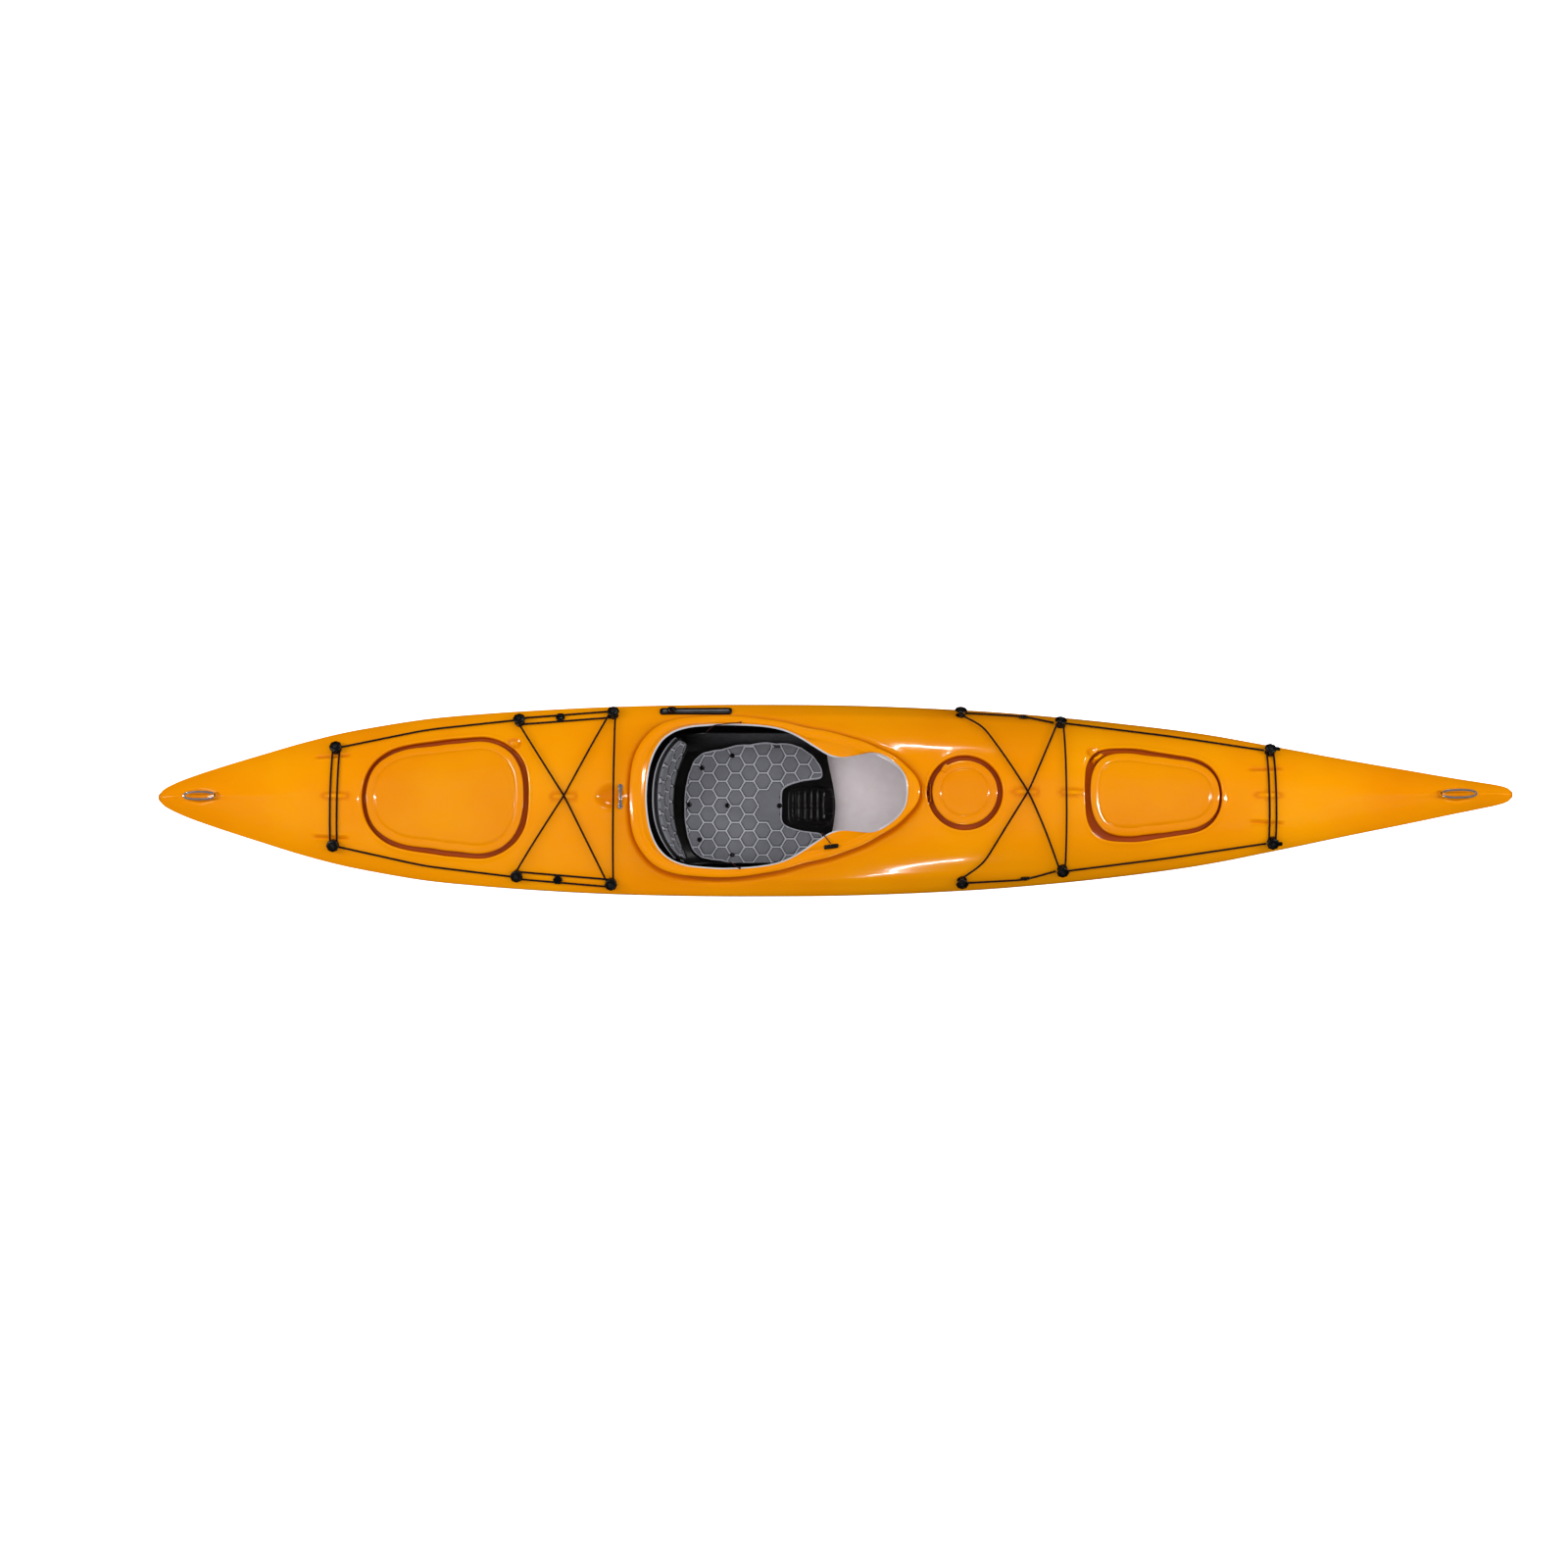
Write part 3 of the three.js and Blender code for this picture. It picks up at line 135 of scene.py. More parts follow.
FRONT_L = Outline(970, [[0,226],[10,223.5],[20,213],[30,192],[40,167],[50,146],[60,134],[70,127],[80,123],[90,123.5],[100,129],[110,138],[120,150],[130,164.5],[138,175],[146,181],[154,182.5],[162,181.5],[170,179.5],[180,177.5]], 5)
DAY_G = Outline(404, [[0,116.5],[90,116.5],[180,116.5]], 0); DAY_L = Outline(404, [[0,100.5],[90,100.5],[180,100.5]], 0)
RIMZ = relax([[-640,271],[-460,259],[-320,254],[-215,262],[-90,280],[30,302],[118,326],[187,348],[275,362]], 120)
KEYZ = relax([[-600,262],[-460,250],[-320,246],[-215,254],[-90,271],[30,291],[118,315],[187,339],[240,352]], 100)

# ------------------------------------------------------------------ mesh helpers
def mesh_object(name, verts, faces, mats, fmat=None, smooth_deg=35, body="kayak", uv=None):
    me = bpy.data.meshes.new(name)
    me.from_pydata([tuple(v) for v in (np.asarray(verts, float) * MM)], [], [tuple(int(i) for i in f) for f in faces])
    for m in mats: me.materials.append(m)
    if fmat is not None: me.polygons.foreach_set("material_index", np.asarray(fmat, dtype=np.int32))
    me.validate(clean_customdata=False); me.update()
    if uv is not None:
        lay = me.uv_layers.new(name="UVMap"); k = 0
        for p in me.polygons:
            for li in p.loop_indices:
                lay.data[li].uv = uv[me.loops[li].vertex_index] if not callable(uv) else uv(p, me.loops[li].vertex_index)
    ob = bpy.data.objects.new(name, me); bpy.context.scene.collection.objects.link(ob)
    bm = bmesh.new(); bm.from_mesh(me); bmesh.ops.remove_doubles(bm, verts=bm.verts, dist=1e-6)
    bm.to_mesh(me); bm.free()
    if smooth_deg: me.shade_smooth() if hasattr(me, "shade_smooth") else None
    for p in me.polygons: p.use_smooth = True
    if smooth_deg and smooth_deg < 180: me.set_sharp_from_angle(angle=math.radians(smooth_deg))
    if body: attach(ob, body)
    return ob

def outward(ob):
    bm = bmesh.new(); bm.from_mesh(ob.data); bmesh.ops.recalc_face_normals(bm, faces=bm.faces); bm.to_mesh(ob.data); bm.free()
    return ob

def modify(ob, kind, **kw):
    m = ob.modifiers.new(kind.lower(), kind)
    for k, v in kw.items(): setattr(m, k, v)
    return m

def apply_mods(ob):
    dg = bpy.context.evaluated_depsgraph_get(); ev = ob.evaluated_get(dg)
    me = bpy.data.meshes.new_from_object(ev, depsgraph=dg); old = ob.data
    ob.modifiers.clear(); ob.data = me; me.name = old.name + "_m"
    return ob

def grid_faces(nu, nv, close_u=False, close_v=False, flip=False, off=0):
    F = []
    for i in range(nu if close_u else nu - 1):
        for j in range(nv if close_v else nv - 1):
            a = i * nv + j; b = ((i + 1) % nu) * nv + j; c = ((i + 1) % nu) * nv + (j + 1) % nv; d = i * nv + (j + 1) % nv
            F.append((a + off, b + off, c + off, d + off) if not flip else (a + off, d + off, c + off, b + off))
    return F

# ------------------------------------------------------------------ materials
def nodes_of(name):
    m = bpy.data.materials.new(name); m.use_nodes = True; nt = m.node_tree; bsdf = nt.nodes["Principled BSDF"]
    return m, nt, bsdf
def srgb(h):
    h = h.lstrip("#"); c = [int(h[i:i + 2], 16) / 255 for i in (0, 2, 4)]
    return tuple(x / 12.92 if x <= 0.04045 else ((x + 0.055) / 1.055) ** 2.4 for x in c) + (1.0,)
def noise(nt, scale, detail=4, rough=0.55, coord="Object", stretch=None, seed=0.0):
    tc = nt.nodes.new("ShaderNodeTexCoord"); mp = nt.nodes.new("ShaderNodeMapping")
    nt.links.new(tc.outputs[coord], mp.inputs["Vector"]); mp.inputs["Location"].default_value = (seed, seed * 1.7, 0)
    if stretch: mp.inputs["Scale"].default_value = stretch
    n = nt.nodes.new("ShaderNodeTexNoise"); n.inputs["Scale"].default_value = scale; n.inputs["Detail"].default_value = detail; n.inputs["Roughness"].default_value = rough
    nt.links.new(mp.outputs["Vector"], n.inputs["Vector"]); return n.outputs["Fac"]
def ramp(nt, fac, stops):
    r = nt.nodes.new("ShaderNodeValToRGB"); nt.links.new(fac, r.inputs["Fac"]); e = r.color_ramp.elements
    while len(e) < len(stops): e.new(0.5)
    for el, (p, c) in zip(e, stops): el.position = p; el.color = c
    return r.outputs["Color"]
def remap(nt, fac, a, b, lo=0.0, hi=1.0):
    r = nt.nodes.new("ShaderNodeMapRange"); nt.links.new(fac, r.inputs["Value"])
    r.inputs["From Min"].default_value = lo; r.inputs["From Max"].default_value = hi; r.inputs["To Min"].default_value = a; r.inputs["To Max"].default_value = b
    return r.outputs["Result"]
def math_node(nt, op, a, b=None, clamp=False):
    m = nt.nodes.new("ShaderNodeMath"); m.operation = op; m.use_clamp = clamp
    for i, v in enumerate([a, b]):
        if v is None: continue
        if isinstance(v, (int, float)): m.inputs[i].default_value = v
        else: nt.links.new(v, m.inputs[i])
    return m.outputs[0]
def bump(nt, bsdf, fac, strength, dist, chain=None):
    b = nt.nodes.new("ShaderNodeBump"); b.inputs["Strength"].default_value = strength; b.inputs["Distance"].default_value = dist
    nt.links.new(fac, b.inputs["Height"])
    if chain: nt.links.new(chain, b.inputs["Normal"])
    nt.links.new(b.outputs["Normal"], bsdf.inputs["Normal"]); return b.outputs["Normal"]

def shell_material(name, base, deep, light, rough=0.11):
    """glossy thermoformed sheet: faint mottling, slight waviness, fine scuffs, and painted shade in grooves and
    hollows, read from a per-vertex attribute
    """
    m, nt, p = nodes_of(name)
    f = noise(nt, 2.2, 3, 0.5); c = ramp(nt, f, [(0.30, srgb(deep)), (0.52, srgb(base)), (0.75, srgb(light))])
    # painted shade: a per-vertex value multiplies the colour down to deep orange-brown in the grooves, the cockpit moat
    # and round small bumps
    at = nt.nodes.new("ShaderNodeAttribute"); at.attribute_name = "painted_shade"
    painted_shade_ramp = ramp(nt, at.outputs["Fac"], [(0.0, (1, 1, 1, 1)), (0.35, (0.86, 0.70, 0.5, 1)), (0.7, (0.66, 0.40, 0.16, 1)), (1.0, (0.46, 0.2, 0.07, 1))])
    mx = nt.nodes.new("ShaderNodeMix"); mx.data_type = "RGBA"; mx.blend_type = "MULTIPLY"; mx.inputs["Factor"].default_value = 1.0
    nt.links.new(c, mx.inputs[6]); nt.links.new(painted_shade_ramp, mx.inputs[7]); nt.links.new(mx.outputs[2], p.inputs["Base Color"])
    s = noise(nt, 60, 6, 0.7, stretch=(0.25, 1, 1), seed=3.1); nt.links.new(remap(nt, s, rough - 0.035, rough + 0.07, 0.3, 0.75), p.inputs["Roughness"])
    w = noise(nt, 9, 2, 0.4, seed=9.0); n1 = bump(nt, p, w, 0.10, 0.004)
    g = noise(nt, 900, 3, 0.6, seed=5.0); bump(nt, p, g, 0.05, 0.0004, n1)
    p.inputs["Coat Weight"].default_value = 0.6; p.inputs["Coat Roughness"].default_value = 0.03
    p.inputs["Specular IOR Level"].default_value = 0.5
    return m
def plastic(name, base, light, rough, grain=700, gstr=0.25, coat=0.0, stretch=None):
    m, nt, p = nodes_of(name)
    f = noise(nt, 14, 5, 0.6, stretch=stretch); nt.links.new(ramp(nt, f, [(0.3, srgb(base)), (0.8, srgb(light))]), p.inputs["Base Color"])
    s = noise(nt, 55, 5, 0.7, seed=2.0); nt.links.new(remap(nt, s, rough - 0.06, rough + 0.1, 0.3, 0.7), p.inputs["Roughness"])
    g = noise(nt, grain, 3, 0.6, seed=4.0); bump(nt, p, g, gstr, 0.0006)
    p.inputs["Coat Weight"].default_value = coat; p.inputs["Coat Roughness"].default_value = 0.15
    return m
def metal(name, col, rough, stretch=(1, 1, 1)):
    m, nt, p = nodes_of(name); p.inputs["Metallic"].default_value = 0.8
    f = noise(nt, 120, 4, 0.6, stretch=stretch); nt.links.new(ramp(nt, f, [(0.3, srgb(col)), (0.75, tuple(min(1, c * 1.12) for c in srgb(col)[:3]) + (1,))]), p.inputs["Base Color"])
    nt.links.new(remap(nt, f, rough * 0.7, rough * 1.5, 0.3, 0.75), p.inputs["Roughness"])
    bump(nt, p, noise(nt, 500, 3, 0.6, stretch=stretch), 0.08, 0.0003)
    return m
def rope_material(name, dark, fleck):
    """woven cord cover: two sets of strands from the tube's own u (round) and v (along, in turns)"""
    m, nt, p = nodes_of(name)
    tc = nt.nodes.new("ShaderNodeTexCoord"); sp = nt.nodes.new("ShaderNodeSeparateXYZ"); nt.links.new(tc.outputs["UV"], sp.inputs[0])
    u, v = sp.outputs["X"], sp.outputs["Y"]
    a = math_node(nt, "ADD", math_node(nt, "MULTIPLY", u, 4.0), math_node(nt, "MULTIPLY", v, 1.0)); b = math_node(nt, "SUBTRACT", math_node(nt, "MULTIPLY", u, 4.0), math_node(nt, "MULTIPLY", v, 1.0))
    sa = math_node(nt, "SINE", math_node(nt, "MULTIPLY", a, 2 * math.pi)); sb = math_node(nt, "SINE", math_node(nt, "MULTIPLY", b, 2 * math.pi))
    w = math_node(nt, "MULTIPLY", sa, sb); fac = remap(nt, w, 0, 1, -1, 1)
    col = ramp(nt, fac, [(0.2, srgb(dark)), (0.62, srgb(dark)), (0.86, srgb(fleck))]); nt.links.new(col, p.inputs["Base Color"])
    p.inputs["Roughness"].default_value = 0.85; p.inputs["Sheen Weight"].default_value = 0.05; p.inputs["Specular IOR Level"].default_value = 0.2
    bump(nt, p, fac, 0.8, 0.0006)
    return m

ORANGE = shell_material("kayak_orange_sheet", "#f19300", "#ec8a00", "#f69e00")
ORANGE_LID = shell_material("kayak_orange_lid", "#ea8b00", "#e58200", "#ef9500", 0.13)
def edge_material(name, a, b, rough):
    m, nt, p = nodes_of(name)
    nt.links.new(ramp(nt, noise(nt, 26, 5, 0.6), [(0.3, srgb(a)), (0.75, srgb(b))]), p.inputs["Base Color"])
    nt.links.new(remap(nt, noise(nt, 90, 4, 0.6, seed=1.0), rough - 0.05, rough + 0.12, 0.3, 0.7), p.inputs["Roughness"])
    bump(nt, p, noise(nt, 420, 3, 0.6), 0.15, 0.0005)
    return m
INNER = edge_material("inner_pale_sheet", "#f3e8eb", "#fbf3f5", 0.42)
def paint_shade_behind_seat(m):
    """painted shade: the inside is painted near black between x = -0.68 and -0.07, where the seat moulding's black
    flanges shade it
    """
    nt = m.node_tree; p = nt.nodes["Principled BSDF"]; src = p.inputs["Base Color"].links[0].from_socket
    tc = nt.nodes.new("ShaderNodeTexCoord"); sx = nt.nodes.new("ShaderNodeSeparateXYZ"); nt.links.new(tc.outputs["Object"], sx.inputs[0])
    mr = nt.nodes.new("ShaderNodeMapRange"); nt.links.new(sx.outputs[0], mr.inputs[0]); mr.inputs[1].default_value = -1.0; mr.inputs[2].default_value = 0.0; mr.inputs[3].default_value = 0.0; mr.inputs[4].default_value = 1.0
    painted_shade_ramp = ramp(nt, mr.outputs[0], [(0.30, (1, 1, 1, 1)), (0.34, (0, 0, 0, 1)), (0.89, (0, 0, 0, 1)), (0.94, (1, 1, 1, 1))])
    mx = nt.nodes.new("ShaderNodeMix"); mx.data_type = "RGBA"; mx.blend_type = "MIX"; nt.links.new(painted_shade_ramp, mx.inputs["Factor"]); mx.inputs[6].default_value = srgb("#1d1618"); nt.links.new(src, mx.inputs[7]); nt.links.new(mx.outputs[2], p.inputs["Base Color"])
# painted shade on the inside of the hull around the seat
paint_shade_behind_seat(INNER)
CUT = edge_material("cut_edge_grey", "#b9bcc2", "#cdd0d6", 0.5)
BLACK = plastic("moulded_black", "#070606", "#100f0e", 0.34, 650, 0.25, 0.0)
BLACK_SHINY = plastic("moulded_black_smooth", "#0b0a0a", "#161414", 0.24, 900, 0.12, 0.3)
RUBBER = plastic("seal_rubber", "#121111", "#201e1e", 0.72, 500, 0.5)
GREY_PL = plastic("grey_shell_plastic", "#8d9096", "#a0a3a9", 0.5, 500, 0.3)
STEEL = metal("stainless_polished", "#cfd1d4", 0.14)
ALU = metal("rail_aluminium_satin", "#a8abaf", 0.34, (0.1, 1, 1))
DARK_STEEL = metal("screw_dark_steel", "#4a4b4e", 0.3)
ROPE = rope_material("deck_cord_woven", "#080606", "#35100c")
ROPE_THIN = rope_material("thin_cord_woven", "#1a0a09", "#6b1d15")

# ------------------------------------------------------------------ surfaces meshed in plan, with the outlines as edges
def inside(P, poly):
    x, y = P[:, 0], P[:, 1]; c = np.zeros(len(P), bool); j = len(poly) - 1
    for i in range(len(poly)):
        xi, yi = poly[i]; xj, yj = poly[j]
        if yi != yj:
            cond = ((yi > y) != (yj > y)) & (x < (xj - xi) * (y - yi) / (yj - yi) + xi); c ^= cond
        j = i
    return c

VS = 190.0; VLIM = math.pi / 2 * VS; DROP = 13.6
def section_p2(x):
    b = HB(x); zk = ZK(x); D = ZS(x) - zk; e = smooth((np.abs(x) - 700) / 1200); f = np.minimum(FLAT(x), 0.5 * b); w = b - f
    return f, f + w * (0.50 - 0.25 * e), zk + D * 0.30 * e, f + w * (0.97 - 0.17 * e), zk + D * (0.11 + 0.47 * e)
def deck_map(u, v, h):
    u = np.asarray(u, float); v = np.asarray(v, float); b = HB(u); lim = np.minimum(np.abs(v), VLIM)
    y = b * np.sin(lim / VS); z = deckZ(u, y) + h
    t = np.maximum(np.abs(v) - VLIM, 0); f, p1y, p1z, p2y, p2z = section_p2(u)
    slope = (b - p2y) / np.maximum(ZS(u) - p2z, 1)
    lip = 1.3 * smooth(t / 5)
    y = np.where(t > 0, b + lip - slope * t, y); z = np.where(t > 0, ZS(u) - t, z)
    return np.stack([u, np.sign(v) * y, z], -1)
def deck_uv(P):
    s = np.clip(P[:, 1] / HB(P[:, 0]), -0.9999, 0.9999); return np.stack([P[:, 0], np.arcsin(s) * VS], 1)

def cdt(points, loops, holes, eps=1e-4):
    """triangulates points and closed loops (lists of index arrays into points); drops triangles inside any of holes (polygons)"""
    edges = []
    for L in loops: edges += [(int(a), int(b)) for a, b in zip(L, np.roll(L, -1))]
    vo, eo, fo, ov, oe, of = delaunay_2d_cdt([Vector((float(a), float(b))) for a, b in points], edges, [], 0, eps)
    V = np.array([(p.x, p.y) for p in vo]); F = np.array([tuple(f) for f in fo], int)
    c = V[F].mean(1); keep = np.ones(len(F), bool)
    for poly in holes: keep &= ~inside(c, poly)
    src = np.array([o[0] if len(o) else -1 for o in ov])
    return V, F[keep], src

def near_filter(P, L, r):
    kd = kdtree.KDTree(len(L))
    for i, p in enumerate(L): kd.insert((p[0], p[1], 0), i)
    kd.balance()
    return np.array([kd.find((p[0], p[1], 0))[2] > r for p in P])

HATCH_PROF = lambda G, L: [(G, -15, 0), (G, -11, 0.7), (G, -7.5, 1.7), (G, -4.4, 1.9), (G, -2.0, 0.6), (G, -0.4, -2.6), (G, 0.3, -6.5), (G, 1.0, -11), (G, 1.8, -18), (G, 3.0, -22.2), (G, 5.4, -24), (L, -1.5, -24.2), (L, 3.8, -24), (L, 5.4, -22.6), (L, 6.1, -19), (L, 6.4, -10.6), (L, 7.2, -9.4), (L, 9.8, -9.4)]
HATCHES = {"rear": (REAR_G, REAR_L, 8.0), "front": (FRONT_G, FRONT_L, 8.0), "day": (DAY_G, DAY_L, 7.0)}
COCK_PROF = [(RIM, -34, 0), (RIM, -26, 0.5), (RIM, -20, 0.9), (RIM, -15, 0.2), (RIM, -10, -2.2), (RIM, -5.5, -6.2), (RIM, 0, -8.6), (RIM, 6, -8.2), (RIM, 10, -4.0), (RIM, 12.4, 5.0), (RIM, 13.4, 13.4)]

SEC_X = -662.0
def super_dimple(x, y, cx, rx, ry, depth, p=2.0, soft=0.35):
    q = (np.abs((x - cx) / rx) ** p + np.abs(y / ry) ** p) ** (1 / p)
    t = np.clip((1 - q) / 1.0, -1, 1)
    return -depth * smooth((t + 0.08) / (soft + 0.45)) 
DIMPLES = [(-1966, 74, 27, 12, 1.25), (1931, 78, 28, 12, 1.25), (SEC_X - 30, 56, 46, 18, 1.7)]
EYES = [(-1545, 0), (-838, 0), (592, 0), (738, 0), (1348, 0)]
FINGERS = [(-996, 170, 22, 17), (803, 131, 20, 16)]
def deck_feature(x, y):
    h = np.zeros_like(x)
    for cx, rx, ry, dep, p in DIMPLES: h = h + super_dimple(x, y, cx, rx, ry, dep, p)
    for ex, ey in EYES:
        q = np.sqrt(((x - ex) / 30) ** 2 + ((y - ey) / 8) ** 2); h = h + 5.2 * smooth((1.2 - q) / 0.7)
    for fx, fy, fr, fs in FINGERS:
        q = np.sqrt(((x - fx) / fr) ** 2 + ((y - fy) / fs) ** 2); h = h - 4.2 * smooth((1.1 - q) / 0.55) + 1.0 * np.exp(-((q - 1.25) / 0.16) ** 2)
    # creases that run beside the end cords
    for cx, hw, yy in [(-1560, 62, 128), (1342, 60, 84)]:
        for s in (-1, 1):
            d = np.abs(y - s * (yy + 0.05 * (x - cx))); along = smooth((hw - np.abs(x - cx)) / 18); h = h - 3.4 * along * smooth((6.5 - d) / 4) + 1.5 * along * np.exp(-((d - 9) / 2.6) ** 2)
    # low ridge on the centre line at both ends
    h = h + (2.4 * smooth((-1655 - x) / 60) * smooth((x + 2075) / 30) + 2.2 * smooth((x - 1640) / 60) * smooth((2085 - x) / 30)) * np.exp(-(y / 5.5) ** 2)
    # shoulder that runs from the cockpit side to the foredeck
    k = smooth((x + 330) / 240) * smooth((760 - x) / 300); s = np.abs(y) / HB(x)
    h = h + 2.6 * k * np.exp(-((s - 0.86) / 0.045) ** 2)
    return h

# painted shade: darker rings round the deck eyes, in the finger recesses and along the creases beside the end cords
def deck_shade_paint(x, y):
    c = np.zeros_like(x)
    for ex, ey in EYES:
        q = np.sqrt(((x - ex) / 30) ** 2 + ((y - ey) / 8) ** 2); c = c + 0.42 * np.exp(-((q - 1.35) / 0.28) ** 2)
    for fx, fy, fr, fs in FINGERS:
        q = np.sqrt(((x - fx) / fr) ** 2 + ((y - fy) / fs) ** 2); c = c + 0.4 * np.exp(-((q - 0.75) / 0.3) ** 2)
    for cx, hw, yy in [(-1560, 62, 128), (1342, 60, 84)]:
        for s in (-1, 1):
            d = np.abs(y - s * (yy + 0.05 * (x - cx))); c = c + 0.4 * smooth((hw - np.abs(x - cx)) / 18) * np.exp(-(d / 5) ** 2)
    return c
SHADE_PAINT = []
def build_deck():
    pts, loops, holes, hs, tags = [], [], [], {}, []
    base = 0
    def add_loop(o, d, h, step, tag):
        nonlocal base
        n = max(24, int(o.length() / step)); P = o.at(d, n); Q = deck_uv(P)
        pts.append(Q); idx = np.arange(base, base + n); loops.append(idx)
        for i in idx: hs[int(i)] = h
        base += n; return Q
    rings = []
    for k, (G, L, step) in HATCHES.items():
        prof = HATCH_PROF(G, L); Qs = [add_loop(o, d, h, step, k) for o, d, h in prof]
        rings += [Qs[0], Qs[2], Qs[4], Qs[10], Qs[11], Qs[12]]; holes.append(Qs[-1])
        groove.append((deck_xy(Qs[4]), deck_xy(Qs[-1])))
    Qs = [add_loop(o, d, h, 8.5, "c") for o, d, h in COCK_PROF]; rings += Qs; holes.append(Qs[-1])
    outer_loops = np.vstack([Qs[0]] + [add for add in []] + [q for q in rings])
    # edges of the whole sheet
    us = np.linspace(-2100, 2100, 351); vmax = VLIM + DROP
    rows = [-vmax, -VLIM - 9, -VLIM - 4.5, -VLIM - 1.5]
    inner_v = np.concatenate([-VLIM + np.array([0, 5, 11, 18, 26]), np.linspace(-VLIM + 36, VLIM - 36, 52), VLIM - np.array([26, 18, 11, 5, 0])])
    allv = np.concatenate([rows, inner_v, [-r for r in rows[::-1]]])
    U, V = np.meshgrid(us, allv, indexing="ij")
    G0 = np.stack([U.ravel(), V.ravel()], 1)
    keep = np.ones(len(G0), bool)
    for h in holes: keep &= ~inside(G0, h)
    L = np.vstack(rings); keep &= near_filter(G0, L, 5.2)
    # nothing of the grid between a hatch's outermost loop and its hole
    for k, (G, Lq, step) in HATCHES.items(): keep &= ~inside(G0, deck_uv(G.at(-15, 300)))
    keep &= ~inside(G0, deck_uv(RIM.at(-14, 300)))
    G0 = G0[keep]
    extra = []
    for cx, rx, ry, dep, p in DIMPLES:
        for q in (1.1, 1.0, 0.9, 0.78, 0.64, 0.48, 0.3, 0.12):
            a = np.arange(40) / 40 * 2 * np.pi; c, s = np.cos(a), np.sin(a); e = 2 / p
            P = np.stack([cx + rx * q * np.sign(c) * np.abs(c) ** e, ry * q * np.sign(s) * np.abs(s) ** e], 1); extra.append(deck_uv(P))
    for ex, ey in EYES:
        for q in (1.2, 1.0, 0.8, 0.5):
            a = np.arange(24) / 24 * 2 * np.pi; extra.append(deck_uv(np.stack([ex + 34 * q * np.cos(a), ey + 10 * q * np.sin(a)], 1)))
    for fx, fy, fr, fs in FINGERS:
        for q in (1.5, 1.25, 1.05, 0.85, 0.6, 0.3):
            a = np.arange(26) / 26 * 2 * np.pi; extra.append(deck_uv(np.stack([fx + fr * q * np.cos(a), fy + fs * q * np.sin(a)], 1)))
    for cx, hw, yy in [(-1560, 62, 128), (1342, 60, 84)]:
        for s_ in (-1, 1):
            for off in (-12, -8.5, -5, 0, 5, 8.5, 12):
                xx = np.arange(-66, 67, 6.0) + cx; extra.append(deck_uv(np.stack([xx, s_ * (yy + 0.05 * (xx - cx)) + off], 1)))
    E = np.vstack(extra); E = E[near_filter(E, L, 4.0)]
    for h in holes: E = E[~inside(E, h)]
    G0 = G0[near_filter(G0, E, 3.0)]
    allp = np.vstack(pts + [E, G0])
    Vv, F, src = cdt(allp, loops, holes)
    h = np.array([hs.get(int(s), 0.0) for s in src])
    X = deck_map(Vv[:, 0], Vv[:, 1], h)
    feat = deck_feature(X[:, 0], X[:, 1]); inner_v_mask = (np.abs(Vv[:, 1]) < VLIM) & (h > -2.0) & (h < 4)
    X[:, 2] += np.where(inner_v_mask, feat, 0)
    # painted shade: colour darkened by depth in the hatch grooves and the cockpit moat (scaled near the coaming), in
    # the dimples, and round the eyes, finger recesses and creases
    near_c = inside(Vv, deck_uv(RIM.at(-40, 300)))
    SHADE_PAINT.append(np.clip(np.where(near_c, (-h - 1.5) / 11.0, (-h - 3.0) / 10.0), 0, 1) + np.where(inner_v_mask, np.clip(-feat / 55.0, 0, 0.3) + deck_shade_paint(X[:, 0], X[:, 1]), 0))
    # winding: normals up
    a, b, c = X[F[:, 0]], X[F[:, 1]], X[F[:, 2]]; n = np.cross(b - a, c - a)
    bad = (n[:, 2] < 0) & (np.abs(Vv[F].mean(1)[:, 1]) < VLIM)
    cr = np.cross(Vv[F[:, 1]] - Vv[F[:, 0]], Vv[F[:, 2]] - Vv[F[:, 0]]); F = np.where((cr < 0)[:, None], F[:, ::-1], F)
    cen = Vv[F].mean(1); fm = np.zeros(len(F), int)
    hm = h[F].mean(1)
    for k, (G, Lq, step) in HATCHES.items(): fm[inside(cen, deck_uv(G.at(0.2, 300))) & (hm < -7.5)] = 3
    return X, F, fm
def deck_xy(Q): return np.stack([Q[:, 0], HB(Q[:, 0]) * np.sin(np.clip(Q[:, 1] / VS, -np.pi / 2, np.pi / 2))], 1)
groove = []
GROOVE = shell_material("kayak_orange_groove", "#f19300", "#ec8a00", "#f69e00", 0.2)

X, F, fm = build_deck()
deck = mesh_object("deck_moulding", X, F, [ORANGE, INNER, CUT, GROOVE, INNER, INNER], fm, smooth_deg=42)
# the painted shade values go onto the deck as a vertex attribute that the orange materials read
ca = deck.data.attributes.new("painted_shade", "FLOAT", "POINT"); ca.data.foreach_set("value", SHADE_PAINT[0].astype(np.float32)[:len(deck.data.vertices)] if len(SHADE_PAINT[0]) == len(deck.data.vertices) else np.zeros(len(deck.data.vertices), np.float32))
print("painted_shade", len(SHADE_PAINT[0]), len(deck.data.vertices))
vg = deck.vertex_groups.new(name="thick")
for v in deck.data.vertices: vg.add([v.index], float(np.clip(HB(v.co.x * 1000) / 60, 0.12, 1)), "REPLACE")
def thicken(ob, t, rim_mat, inner_off):
    modify(ob, "SOLIDIFY", thickness=t * MM, offset=-1, vertex_group="thick" if "thick" in ob.vertex_groups else "", use_rim=True, material_offset=inner_off, material_offset_rim=rim_mat, use_quality_normals=True)
    apply_mods(ob)
    return ob
thicken(deck, 4.2, 2, 1)
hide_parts("deck_shell"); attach(deck, "kayak")

